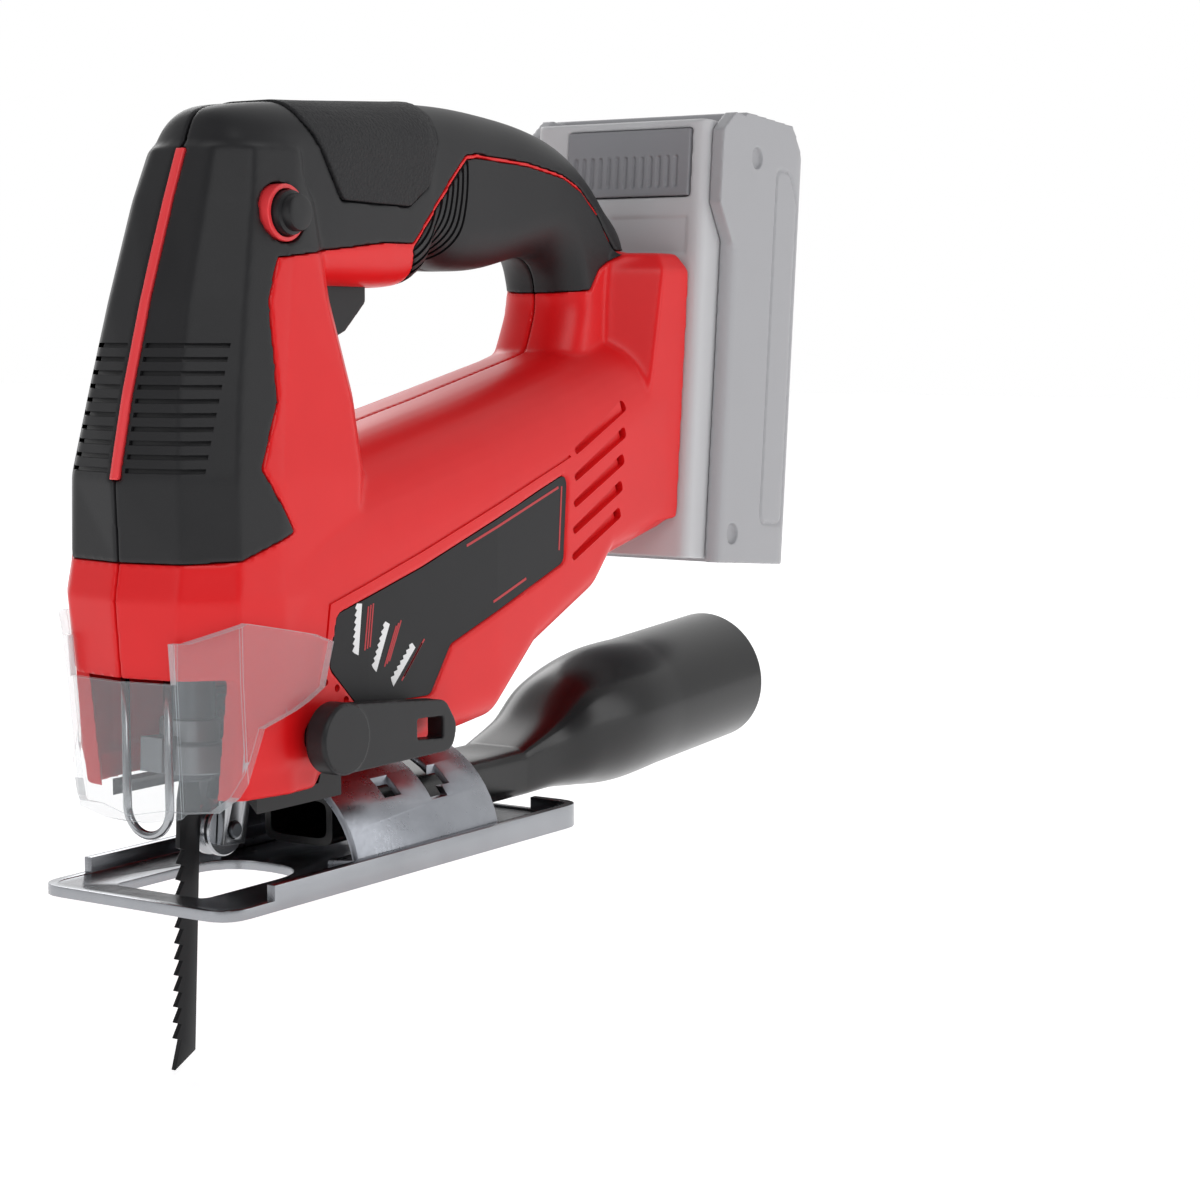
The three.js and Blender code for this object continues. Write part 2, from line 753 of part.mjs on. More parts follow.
// ---- plunger, clamp and blade, drawn upright and leaned together --------------------------------
[['lower_bush', lowerBush], ['upper_bush', upperBush]].forEach(([name, [z0, z1]]) => {
  const bush = rod('z', z0, z1, bushRadius, 0, 0, 16)
    .subtract(rod('z', z0 - 1, z1 + 1, plungerRadius + gap, 0, 0, 16));
  add(name, onBlade(bush), copper);
});
const pinLow = gearZ - eccentric;
const yokeHalf = 17;
const yoke = box(plungerRadius - 1, 7.2, -yokeHalf, yokeHalf, pinLow - 9, pinLow + 9)
  .subtract(box(0, 8, 3 - yokeHalf, yokeHalf - 3, pinLow - 4.4, pinLow + 4.4));
const plunger = rod('z', clampTop + gap, plungerTop, plungerRadius, 0, 0, 16);
add('plunger', onBlade(plunger), steel);
const yokeCut = rod('z', 50, 160, plungerRadius + gap, 0, 0, 16);
const yokeHub = rod('z', pinLow - 9, pinLow + 9, 7, 0, 0, 16);
const yokeSlot = box(4.9, 9, 3 - yokeHalf, yokeHalf - 3, pinLow - 4.4, pinLow + 4.4);
add('yoke', onBlade(yoke.add(yokeHub).subtract(yokeCut).subtract(yokeSlot)), darkSteel);

const shankHalf = 3;
const shankTop = 46;
const clamp = rod('z', clampBottom, clampTop, clampRadius, 0, 0, 18)
  .subtract(box(-4.2, 4.2, -1, 1, clampBottom - 1, shankTop + 1));
add('blade_clamp', onBlade(clamp), darkSteel);
const collar = rod('z', collarBottom, collarTop, collarRadius, 0, 0, 24)
  .add(rod('z', collarTop - 1, collarTop + 6, 7.5, 0, 0, 20))
  .add(box(-13.8, -7, -3.5, 3.5, collarBottom + 1, collarTop + 2))
  .subtract(rod('z', collarBottom - 1, collarTop + 8, clampRadius + gap, 0, 0, 18));
add('clamp_collar', onBlade(collar), steel);

const bladeOutline = [
  [bladeWidth / 2, -bladeReach + 4],
  [bladeWidth / 2, 24],
  [shankHalf, 28],
  [shankHalf, shankTop],
  [-shankHalf, shankTop],
  [-shankHalf, 28],
  [-bladeWidth / 2, 24],
];
for (let z = 12; z > 4 - bladeReach; z -= toothPitch) {
  bladeOutline.push([-bladeWidth / 2, z], [toothDepth - bladeWidth / 2, z - 0.6]);
}
bladeOutline.push([-bladeWidth / 2, -bladeReach]);
add('saw_blade', onBlade(sideSlab(bladeOutline, -bladeThickness / 2, bladeThickness / 2)), bladeBlack);

// ---- guide roller on its swinging fork ----------------------------------------------------------
const rollerX = bladeX + Math.tan(THREE.MathUtils.degToRad(bladeLean)) * rollerZ
  + bladeWidth / 2 + rollerRadius + 0.4;
const axleRadius = 2.4;
const cheekThickness = 2.2;
const rollerHalf = 3;
const cheekOutline = [
  [rollerX - 4, rollerZ - 3.5],
  [rollerX + 4, rollerZ - 4],
  [forkPivot[0] + 4.5, forkPivot[1] - 2],
  [forkPivot[0] + 3, forkPivot[1] + 4],
  [forkPivot[0] - 3, forkPivot[1] + 4],
  [forkPivot[0] - 5, forkPivot[1] - 4],
  [rollerX - 3, rollerZ + 8],
];
const cheek = (y) => sideSlab(cheekOutline, y, y + cheekThickness);
const fork = cheek(rollerHalf + gap)
  .add(cheek(-rollerHalf - gap - cheekThickness))
  .add(box(forkPivot[0] - 2, forkPivot[0] + 2.5, -4, 4, forkPivot[1] - 9, forkPivot[1] - 5))
  .subtract(rod('y', -9, 9, forkPinRadius + gap, ...forkPivot, 12))
  .subtract(rod('y', -9, 9, axleRadius, rollerX, rollerZ, 12));
add('roller_fork', fork, steel);
add('fork_pin', rod('y', -16, 16, forkPinRadius, ...forkPivot, 12), steel);
add('roller_axle', rod('y', -6.6, 6.6, axleRadius - gap, rollerX, rollerZ, 12), darkSteel);
const groove = box(rollerX - 8, rollerX + 8, -1, 1, rollerZ - 8, rollerZ + 8)
  .subtract(rod('y', -2, 2, rollerRadius - 1.5, rollerX, rollerZ, 20));
const roller = rod('y', -rollerHalf, rollerHalf, rollerRadius, rollerX, rollerZ, 24)
  .subtract(groove)
  .subtract(rod('y', -4, 4, axleRadius, rollerX, rollerZ, 12));
add('guide_roller', roller, steel);

// ---- finger guard wire and the skirt under the gear case ----------------------------------------
const wireBend = new THREE.CurvePath();
const wirePoint = (y, z) => new THREE.Vector3(wireX, y, z);
const wireTurn = wireLow + wireHalf;
wireBend.add(new THREE.LineCurve3(wirePoint(-wireHalf, wireTop), wirePoint(-wireHalf, wireTurn)));
wireBend.add(
  new THREE.CubicBezierCurve3(
    wirePoint(-wireHalf, wireTurn),
    wirePoint(-wireHalf, wireLow - 2),
    wirePoint(wireHalf, wireLow - 2),
    wirePoint(wireHalf, wireTurn),
  ),
);
wireBend.add(new THREE.LineCurve3(wirePoint(wireHalf, wireTurn), wirePoint(wireHalf, wireTop)));
const wireSection = new THREE.Shape();
wireSection.absarc(0, 0, wireRadius, 0, 2 * Math.PI);
const wire = new THREE.ExtrudeGeometry(wireSection, {
  steps: 24,
  curveSegments: 8,
  extrudePath: wireBend,
  bevelEnabled: false,
});
add('finger_guard_wire', solidOf(wire), steel);

const skirt = box(-56, saddleFront - 1.5, -24, 24, 21.5, 36.5)
  .subtract(rod('x', -80, 40, cradleRadius + gap, 0, tiltZ, 36))
  .subtract(outerForm(-gap));
add('skirt_left', skirt.intersect(leftHalf), blackPlastic);
add('skirt_right', skirt.intersect(rightHalf), blackPlastic);

// ---- hand controls ------------------------------------------------------------------------------
const triggerOutline = [
  [-12, 157],
  [-12, 144],
  [-9, 138.5],
  [-4, 138],
  [0, 140],
  [9, 148],
  [9, 157],
];
const trigger = sideSlab(triggerOutline, -7.6, 7.6)
  .subtract(rod('y', -20, 20, 9, 8, 134, 24))
  .add(box(-16, 12, -9.5, 9.5, 155.8, 158.2));
add('trigger', trigger, blackPlastic);
add('switch_body', box(-16, 22, -9, 9, 158 + triggerTravel + 0.8, 187), blackPlastic);

const button = rod('y', -27.5, -12, lockButtonRadius, ...lockButton, 20)
  .add(rod('y', -14.3, -12, 8.4, ...lockButton, 20));
add('lock_button', button, blackPlastic);
const bezel = rod('y', -23.8, -18.5, 7.1, ...lockButton, 20)
  .subtract(rod('y', -30, -10, lockButtonRadius + gap, ...lockButton, 20));
add('lock_button_bezel', bezel, redPlastic);

const leverEnd = leverHub[0] + leverLength;
const leverOutline = [
  [leverHub[0], leverHub[1] + leverHubRadius - 0.4],
  [leverEnd - 4, leverHub[1] + 5, 5],
  [leverEnd + 1, leverHub[1] - 2, 5],
  [leverEnd - 1, leverHub[1] - 8.5, 5],
  [leverHub[0], leverHub[1] - leverHubRadius + 0.2],
];
const lever = sideSlab(rounded(leverOutline, 5), -39.4, -34)
  .add(rod('y', -40.2, -34, leverHubRadius, ...leverHub, 28))
  .subtract(box(leverEnd - 16, leverEnd - 5, -45, -30, leverHub[1] - 4, leverHub[1] + 0.5))
  .add(rod('y', -35, -14, leverShaftRadius, ...leverHub, 18));
add('pendulum_lever', lever, blackPlastic);

// ---- clear chip guard over the nose -------------------------------------------------------------
const guardWall = 1.8;
const guardClear = 0.5;
const guardProfile = [
  [-85, 22],
  [-76, 22],
  [-74, 25],
  [-69, 25],
  [-66, 28.5],
  [-60, 45],
  [-46, 50],
  [-40, 53],
  [-37, 64],
  [-44, 66.5],
  [-66, 71],
  [-75.8, 66.4],
  [-85, 66.4],
];
function guardForm(shrink) {
  const levels = noseLevels.slice(0, 4).map(([z, ...rest]) => [z, ...rest]);
  levels[0][0] = 20;
  const rings = levels.map(([z, front, [facetBack, facetHalf], [sideBack, sideHalf]]) => {
    const half = sideHalf - shrink;
    const outline = [
      [front + shrink, 0],
      [front + shrink + facetBack, facetHalf - shrink * 0.5],
      [front + sideBack + shrink * 0.6, half],
      [front + sideBack + 14, half + noseSwell + guardClear],
      [-28, half + noseSwell + 2 * guardClear],
    ];
    const mirrored = outline.slice(1).reverse();
    return [...outline.map(([a, b]) => [a, b, z]), ...mirrored.map(([a, b]) => [a, -b, z])];
  });
  return loft(rings);
}
const guard = guardForm(-guardClear - guardWall)
  .subtract(guardForm(-guardClear))
  .subtract(outerForm(-gap))
  .intersect(sideSlab(guardProfile, -far, far))
  .subtract(box(-100, -70, -16.4, 16.4, mouthZ - 0.6, 90));
add('chip_guard', guard, clearPlastic);

// ---- foot: plate and saddle ---------------------------------------------------------------------
const footHalf = footLength / 2;
function footOutline(inset) {
  const [x, y] = [footHalf - inset, footWidth / 2 - inset];
  const radius = footCorner - inset;
  return rounded([[-x, -y, radius], [x, -y, radius], [x, y, radius], [-x, y, radius]], 5);
}
const blade = [
  [-footHalf + windowFront, -windowHalfWidth, 3],
  [windowBack, -windowHalfWidth, windowHalfWidth - 1],
  [windowBack, windowHalfWidth, windowHalfWidth - 1],
  [-footHalf + windowFront, windowHalfWidth, 3],
];
const plate = planSlab(footOutline(0), 0, footLip)
  .subtract(planSlab(footOutline(footSheet), footSheet, footLip + 1))
  .subtract(box(-footHalf - 1, -footHalf + 17, -far, far, footSheet + 0.2, 20))
  .subtract(planSlab(rounded(blade, 6), -1, 10))
  .subtract(box(footHalf - 16, footHalf + 1, -15, 15, footSheet + 0.5, 20))
  .subtract(rod('z', -1, 10, 5, tiltBoltX, 0, 18));
add('foot_plate', plate, steel);

const saddleFoot = footSheet + gap;
const saddleStart = Math.asin(saddleFoot / saddleRadius);
const arc = (radius, from, to) => {
  const points = [];
  for (let i = 0; i <= 24; i += 1) {
    const turn = from + ((to - from) * i) / 24;
    points.push([radius * Math.cos(turn), tiltZ + radius * Math.sin(turn)]);
  }
  return points;
};
const tabInner = 18;
const saddleOutline = [
  ...arc(saddleRadius, saddleStart, Math.PI - saddleStart),
  [-tabInner, saddleFoot],
  [-tabInner, saddleFoot + saddleSheet],
  ...arc(saddleRadius - saddleSheet, Math.PI - 2.2 * saddleStart, 2.2 * saddleStart),
  [tabInner, saddleFoot + saddleSheet],
  [tabInner, saddleFoot],
];
const slotHalf = tiltBoltRadius + 0.5;
const slotLow = (saddleRadius - saddleSheet) * Math.sin(THREE.MathUtils.degToRad(90 - tiltLimit - 9));
const squareHoles = [-3, 18].map((x) => box(x, x + 7, -22, -17, 18, 27));
const saddle = frontSlab(saddleOutline, saddleFront, saddleFront + saddleLength)
  .subtract(box(tiltBoltX - slotHalf, tiltBoltX + slotHalf, -far, far, slotLow, 40))
  .subtract(joined(...squareHoles))
  .subtract(box(saddleFront - 1, saddleFront + 3, -14, 14, 20, 40));
add('saddle', saddle, steel);

const boltHead = saddleRadius - saddleSheet - 1;
const bolt = rod('z', boltHead - 2.5, boltTop, tiltBoltRadius, tiltBoltX, 0, 14)
  .add(rod('z', boltHead - 2.5, boltHead, 5.5, tiltBoltX, 0, 18))
  .subtract(rod('z', boltHead - 5, boltHead - 1, 2.6, tiltBoltX, 0, 6));
add('tilt_bolt', bolt, darkSteel);
const nutPlate = nutRoom(0)
  .subtract(rod('z', 20, 60, tiltBoltRadius + gap, tiltBoltX, 0, 14));
add('tilt_nut_plate', nutPlate, steel);

// ---- suction adapter ----------------------------------------------------------------------------
// Ring of a superellipse section: x, middle height, half-width, half-height and its squareness.
function hoseRing([x, z, halfY, halfZ, power], shrink, tilt = 0) {
  const ring = [];
  for (let i = 0; i < 28; i += 1) {
    const turn = (i / 28) * 2 * Math.PI;
    const [c, s] = [Math.cos(turn), Math.sin(turn)];
    const y = Math.sign(c) * Math.abs(c) ** (2 / power) * (halfY - shrink);
    const up = Math.sign(s) * Math.abs(s) ** (2 / power) * (halfZ - shrink);
    ring.push([x - up * Math.sin(tilt), y, z + up * Math.cos(tilt)]);
  }
  return ring;
}
const hoseEnd = [196.5, 27];
const hoseStart = 128;
const hoseLift = (x) => hoseEnd[1] - (hoseEnd[0] - x) * Math.tan(THREE.MathUtils.degToRad(hoseTilt));
const hoseStations = [
  [tubeFront, tubeZ, tubeHalfWidth, tubeHeight / 2, 6],
  [76, tubeZ, tubeHalfWidth, tubeHeight / 2, 6],
  [92, 15.8, 13.5, 10.5, 3.5],
  [108, 20, 17.5, 16.5, 2.5],
  [hoseStart, hoseLift(hoseStart), hoseRadius, hoseRadius, 2],
  [hoseEnd[0], hoseEnd[1], hoseRadius, hoseRadius, 2],
];
function hose(shrink, past) {
  const last = hoseStations.length - 1;
  return loft(
    hoseStations.map((station, i) => {
      const tilt = i >= last - 1 ? THREE.MathUtils.degToRad(hoseTilt) : 0;
      const moved = [...station];
      moved[0] += i === 0 ? -past : i === last ? past : 0;
      return hoseRing(moved, shrink, tilt);
    }),
  );
}
add('suction_adapter', hose(0, 0).subtract(hose(hoseWall, 1)), glossBlack);

// ---- battery pack, drawn upright and leaned onto its seat ---------------------------------------
const onPack = (solid) => placed(solid, packFrame);
const packHalf = packWidth / 2;
const splitX = 30; // joint between the two halves of the case
function packOutline(inset) {
  const [x0, x1, y] = [gap + inset, packDepth - inset, packHalf - inset];
  return rounded([[x0, -y, 4], [x1, -y, 9], [x1, y, 9], [x0, y, 4]], 4);
}
const packShell = planSlab(packOutline(0), 0, packHeight)
  .subtract(planSlab(packOutline(packWall), packWall, packHeight - packWall));
const buttonRoom = [-0.5, 5, -26, 18, packHeight - 27, packHeight - 7];
const [bx0, bx1, by0, by1, bz0, bz1] = buttonRoom;
const spine = box(-spineDepth, gap + 1, -spineHalfWidth, spineHalfWidth, spineBottom, spineTop);
const slotTop = spineBottom + 24;
const terminalSlots = [-12, 0, 12].map((y) =>
  box(-spineDepth - 1, -1, y - 1.2, y + 1.2, spineBottom - 1, slotTop),
);
const packCase = packShell.add(spine).subtract(joined(...terminalSlots));
const buttonHole = box(bx0 - 1, bx1, by0 - gap, by1 + gap, bz0 - gap, bz1 + gap);
add(
  'pack_case_front',
  onPack(packCase.subtract(buttonHole).intersect(box(-20, splitX - gap / 2, -far, far, -5, 200))),
  packGrey,
);
add('pack_case_rear', onPack(packCase.intersect(box(splitX + gap / 2, 80, -far, far, -5, 200))), packDark);
const flangeFront = gap + packWall + gap;
const packButton = box(bx0, bx1, by0, by1, bz0, bz1)
  .add(box(flangeFront, flangeFront + 2.3, by0 - 3, by1 + 3, bz0 - 3, bz1 + 2.3));
add('pack_button', onPack(packButton), packDark);
const cellCount = 5;
const cellPitch = 24;
const cellX = 38.5;
for (let i = 0; i < cellCount; i += 1) {
  const z = 16 + i * cellPitch;
  add(`battery_cell_${i + 1}`, onPack(rod('y', -32.5, 32.5, cellRadius, cellX, z, 18)), copper);
}
add('pack_board', onPack(box(22, 23.6, -27, 27, 8, 108)), packDark);

// Terminal block at the bottom of the recess; its three blades reach up into the pack's spine.
const terminals = [-12, 0, 12].map((y) => box(-5, -2, y - 0.5, y + 0.5, 18, spineBottom + 20));
const block = box(-6.6, -1.6, -18, 18, 14.2, spineBottom - 0.6).add(joined(...terminals));
add('terminal_block', onPack(block), blackPlastic);

export default group;
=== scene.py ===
import math

import bmesh
import bpy
import numpy as np
from mathutils import Matrix, Vector


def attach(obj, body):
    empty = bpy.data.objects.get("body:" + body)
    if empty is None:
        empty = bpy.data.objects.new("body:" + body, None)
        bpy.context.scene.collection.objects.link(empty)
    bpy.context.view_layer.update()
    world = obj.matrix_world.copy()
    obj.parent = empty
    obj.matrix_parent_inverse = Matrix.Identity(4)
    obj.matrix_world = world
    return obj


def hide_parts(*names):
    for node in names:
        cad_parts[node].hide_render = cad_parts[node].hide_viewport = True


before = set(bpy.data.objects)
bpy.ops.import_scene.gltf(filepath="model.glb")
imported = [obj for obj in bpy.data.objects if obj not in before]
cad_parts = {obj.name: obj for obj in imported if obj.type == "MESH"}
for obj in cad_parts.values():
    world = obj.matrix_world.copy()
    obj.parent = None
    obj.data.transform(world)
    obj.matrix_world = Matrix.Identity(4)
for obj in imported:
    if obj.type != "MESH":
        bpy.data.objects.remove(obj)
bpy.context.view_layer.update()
bpy.context.scene.view_settings.view_transform = "Standard"


# The red shells: two glossy, faintly grained ABS mouldings that meet on the tool's middle plane and
# are screwed together. One loft makes the nose, one the motor body, one the handle and one the seat
# for the battery; they are run together, then hollowed to their wall and cut at their parting lines.
def to_scene(obj):
    bpy.context.scene.collection.objects.link(obj)
    return obj


def loft(name, rings, ring_closed=False):
    """Closed body through rings of points in millimetres, capped, or turned back onto its first ring."""
    turns, count = len(rings), len(rings[0])
    points = np.array(rings, float).reshape(-1, 3) * 0.001
    last = turns if ring_closed else turns - 1
    faces = []
    for r in range(last):
        here, there = r * count, ((r + 1) % turns) * count
        for i in range(count):
            j = (i + 1) % count
            faces.append([here + i, here + j, there + j, there + i])
    if not ring_closed:
        faces.append(list(range(count))[::-1])
        faces.append(list(range((turns - 1) * count, turns * count)))
    mesh = bpy.data.meshes.new(name)
    mesh.from_pydata(points.tolist(), [], faces)
    work = bmesh.new()
    work.from_mesh(mesh)
    bmesh.ops.remove_doubles(work, verts=work.verts, dist=1e-7)
    bmesh.ops.recalc_face_normals(work, faces=work.faces)
    work.to_mesh(mesh)
    work.free()
    return to_scene(bpy.data.objects.new(name, mesh))


def slab(name, outline, axis, low, high):
    """Outline in the other two axes, run straight along one axis."""
    places = {
        "x": lambda a, b, c: (c, a, b),
        "y": lambda a, b, c: (a, c, b),
        "z": lambda a, b, c: (a, b, c),
    }
    place = places[axis]
    return loft(name, [[place(a, b, c) for a, b in outline] for c in (low, high)])


def block(name, x0, x1, y0, y1, z0, z1):
    return slab(name, [(x0, y0), (x1, y0), (x1, y1), (x0, y1)], "z", z0, z1)


def settle(body):
    """Makes what the modifiers show the body's own mesh."""
    bpy.context.view_layer.update()
    shaped = bpy.data.meshes.new_from_object(body.evaluated_get(bpy.context.evaluated_depsgraph_get()))
    old = body.data
    body.modifiers.clear()
    body.data = shaped
    bpy.data.meshes.remove(old)
    return body


def drop(*objs):
    for obj in objs:
        bpy.data.objects.remove(obj)


def carve(body, tool, way="DIFFERENCE", keep=False):
    change = body.modifiers.new("carve", "BOOLEAN")
    change.operation = way
    change.solver = "MANIFOLD"
    change.object = tool
    settle(body)
    if not keep:
        drop(tool)
    return body


def fused(first, *others):
    for other in others:
        carve(first, other, "UNION")
    return first


def twin(body, name):
    copy = body.copy()
    copy.data = body.data.copy()
    copy.name = name
    return to_scene(copy)


def recast(body, grain, softening):
    """Remade in even small faces, then its edges are rounded as a mould rounds them."""
    cast = body.modifiers.new("cast", "REMESH")
    cast.mode = "VOXEL"
    cast.voxel_size = grain * 0.001
    cast.adaptivity = 0
    soft = body.modifiers.new("soft", "SMOOTH")
    soft.factor = 0.5
    soft.iterations = softening
    settle(body)
    body.data.shade_smooth()
    return body


def eased(values, steps):
    """Rows of numbers with rows between them on a smooth curve through all of them."""
    rows = np.array(values, float)
    out = []
    for i in range(len(rows) - 1):
        p0, p1, p2, p3 = rows[max(i - 1, 0)], rows[i], rows[i + 1], rows[min(i + 2, len(rows) - 1)]
        for k in range(steps):
            t = k / steps
            square = (2 * p0 - 5 * p1 + 4 * p2 - p3) * t**2
            cube = (3 * p1 - p0 - 3 * p2 + p3) * t**3
            out.append(0.5 * (2 * p1 + (p2 - p0) * t + square + cube))
    return np.array(out + [rows[-1]])


def section(inner, outer, half, round_in, round_out, shrink, steps=10):
    """Rounded section between two points of the side view."""
    inner, outer = np.array(inner, float), np.array(outer, float)
    length = np.linalg.norm(outer - inner)
    across = (outer - inner) / length
    start, end, half = shrink, length - shrink, half - shrink
    limit = min(half, (end - start) / 2) - 0.5
    ring = []
    for along, side, radius, sideways in (
        (start, -1, round_in, True),
        (end, -1, round_out, False),
        (end, 1, round_out, True),
        (start, 1, round_in, False),
    ):
        r = max(1, min(radius - shrink, limit))
        inwards = 1 if along == start else -1
        for k in range(steps):
            turn = k / (steps - 1) * math.pi / 2
            a, b = (math.cos(turn), math.sin(turn)) if sideways else (math.sin(turn), math.cos(turn))
            d = along + inwards * r * (1 - a)
            x, z = inner + across * d
            ring.append((x, side * (half - r * (1 - b)), z))
    return ring


# level, front, front facet (back, half), side facet (back, half), rear
nose_levels = [
    (27, -74.5, 2.2, 15.5, 12, 26.5, -30),
    (57, -77.8, 2.6, 16.5, 12.5, 27.3, -20),
    (76, -79.4, 3, 18, 12.9, 28.2, -14),
    (84, -77.8, 3, 17.8, 12.6, 27.5, -12),
    (105, -78.6, 3.9, 17, 13.6, 27.1, -11),
    (124, -74, 2.5, 14.4, 12.7, 24.8, -12),
    (148, -66.7, 1.4, 12.6, 10.9, 22.4, -18),
    (172, -58.1, 0.5, 11.4, 8.5, 19.8, -20),
    (185.2, -52.8, 0.3, 9.8, 7, 17.3, -28),
]
# x, underside, top, share of the full half-width
body_stations = [
    (-64, 29, 96, 0.88),
    (-52, 29.5, 102, 0.97),
    (-20, 30, 109, 1),
    (24, 34, 118.5, 1),
    (36, 35.5, 121, 1),
    (56, 52, 125.5, 0.98),
    (87, 65, 132.5, 0.95),
    (96, 74, 135, 0.94),
    (129, 81, 145, 0.9),
    (132.2, 85, 148, 0.88),
]
# point towards the hand opening, point on the outside, half-width
handle_stations = [
    (-50, 162, -51.5, 187, 12),
    (-46, 156, -47, 194, 15),
    (-34, 152, -34, 196.6, 18.5),
    (-14, 151.5, -14, 197.8, 19.5),
    (21, 152, 20, 200, 18),
    (29, 159.5, 28, 200.6, 17),
    (44, 156.6, 44, 200.8, 16.5),
    (60, 157, 60, 200, 16),
    (78, 160.3, 78, 198, 16),
    (89, 161, 94, 194.5, 15.5),
    (95, 157.5, 107, 188.5, 15),
    (97, 151, 119, 179.5, 14.5),
    (96, 143, 131, 165, 14.5),
    (89, 127, 118, 134, 16),
]
seat_levels = [(84, 100), (120, 106), (158, 114), (163, 116)]
body_half, wall = 31, 2.6
pack_x, pack_z, pack_lean = 131.5, 71, math.radians(5)
blade_x, blade_lean = -55.4, math.radians(3)
lock_button = (-40.5, 168.8)
lever_hub = (-40.5, 40.6)


def nose_form(shrink):
    rings = []
    for i, (z, front, fb, fh, sb, sh, rear) in enumerate(nose_levels):
        half, x, back = sh - shrink, front + shrink, rear - shrink
        side = [
            (x, 0),
            (x + fb, fh - shrink * 0.5),
            (x + sb, half),
            (x + sb + 14, half + 2.5),
            (back - 9, half + 1.5),
            (back - 2.5, half - 3),
            (back, half - 9),
        ]
        level = z - shrink if i == len(nose_levels) - 1 else z
        rings.append([(a, b, level) for a, b in side] + [(a, -b, level) for a, b in side[:0:-1]])
    if shrink > 0.5:
        rings.insert(0, [(a, b, c - 6) for a, b, c in rings[0]])
    return loft("nose", rings)


def body_form(shrink):
    rings = []
    for i, (x, low, high, share) in enumerate(body_stations):
        at = x + {0: shrink, len(body_stations) - 1: -shrink}.get(i, 0)
        rings.append(section((at, low), (at, high), body_half * share, 8, 25, shrink, 12))
    return loft("body", rings)


def handle_form(shrink):
    rows = eased(handle_stations, 5)
    rings = []
    for i, (ax, az, bx, bz, half) in enumerate(rows):
        move, rise = (shrink if i == 0 else 0), (shrink if i == len(rows) - 1 else 0)
        rings.append(section((ax + move, az + rise), (bx + move, bz + rise), half, 12, 13, shrink))
    return loft("handle", rings)


def seat_form(shrink):
    rings = []
    for i, (z, front) in enumerate(seat_levels):
        top = 3 if i == 3 else 0
        x, half = front + shrink, 28 - shrink - top
        back = pack_x + (z - pack_z) * math.tan(pack_lean) - top - shrink
        level = z + (shrink if i == 0 else 0) - (shrink if top else 0)
        side = [(x, 13 - shrink), (x + 10, half), (back, half)]
        rings.append([(a, b, level) for a, b in side] + [(a, -b, level) for a, b in side[::-1]])
    return loft("seat", rings)


def outer_form(shrink):
    return fused(nose_form(shrink), body_form(shrink), handle_form(shrink), seat_form(shrink))


def grown(outline, distance):
    """An outline moved outwards, corner by corner."""
    points = np.array(outline, float)
    area = sum(a[0] * b[1] - b[0] * a[1] for a, b in zip(points, np.roll(points, -1, 0)))
    out = []
    for i, here in enumerate(points):
        a = here - points[i - 1]
        b = points[(i + 1) % len(points)] - here
        a, b = a / np.linalg.norm(a), b / np.linalg.norm(b)
        normal = np.array([a[1] + b[1], -a[0] - b[0]])
        normal /= np.linalg.norm(normal)
        normal *= math.copysign(1, area) * distance / max(0.4, abs(normal @ np.array([a[1], -a[0]])))
        out.append(tuple(here + normal))
    return out


def arc_points(x, z, radius, angles):
    return [(x + radius * math.cos(t), z + radius * math.sin(t)) for t in angles]


def ring_points(x, z, radius, steps=48):
    return arc_points(x, z, radius, [2 * math.pi * i / steps for i in range(steps)])


def swung(outline, x, z, angle):
    """An outline turned about its own start and moved to a place."""
    c, s = math.cos(angle), math.sin(angle)
    return [(x + a * c - b * s, z + a * s + b * c) for a, b in outline]


def on_side(side, near, far):
    """Lower and upper Y of what lies between two distances on the left (-1) or right (1)."""
    return sorted((side * near, side * far))


def rounded(outline, radius, steps=6):
    """An outline with its corners rounded."""
    points = [np.array(p[:2], float) for p in outline]
    out = []
    for i, here in enumerate(points):
        r = outline[i][2] if len(outline[i]) > 2 else radius
        before, after = points[i - 1] - here, points[(i + 1) % len(points)] - here
        la, lb = np.linalg.norm(before), np.linalg.norm(after)
        before, after = before / la, after / lb
        half = math.acos(max(-1, min(1, float(before @ after)))) / 2
        reach = min(r / max(math.tan(half), 1e-3), la * 0.49, lb * 0.49)
        for k in range(steps + 1):
            t = k / steps
            out.append(tuple(here + before * reach * (1 - t) ** 2 + after * reach * t**2))
    return out


def on_pack(obj):
    """From the battery's own upright axes onto its leaning seat."""
    seat = Matrix.Translation((pack_x * 0.001, 0, pack_z * 0.001))
    obj.data.transform(seat @ Matrix.Rotation(pack_lean, 4, "Y"))
    return obj


def on_blade(obj):
    """From the upright blade line onto its lean."""
    obj.data.transform(Matrix.Translation((blade_x * 0.001, 0, 0)) @ Matrix.Rotation(blade_lean, 4, "Y"))
    return obj


inlay_line = [(16, 163), (42, 187.3), (47, 188), (71, 187), (90, 184.5), (100, 181)]
inlay_line += [(109.5, 174), (119, 163.6)]
inlay_width = 1.3
inlay_low = [(x + 0.4, z - inlay_width) for x, z in inlay_line]
hood_outline = (
    [(-95, 84), (-64, 85.5), (-47, 91.5), (-57, 107), (-49.5, 123.5), (-48.5, 147.6), (-44, 158), (3, 162.8)]
    + inlay_line
    + [(160, 163.6), (160, 215), (-95, 215)]
)
grip_outline = inlay_low + [(110.5, 158), (106, 152), (78, 149.3), (60, 140), (30, 140), (23, 148)]
label_outline = [(71, 100.5), (69, 75.5), (14.6, 58), (5.5, 45.5)]
label_outline += [(-24, 46), (-35, 57), (-32, 70), (2.3, 79)]
pad_outline = [(-31, 215), (-27, 192), (-15, 173), (14, 172.5), (23, 178), (28, 190), (30, 215)]

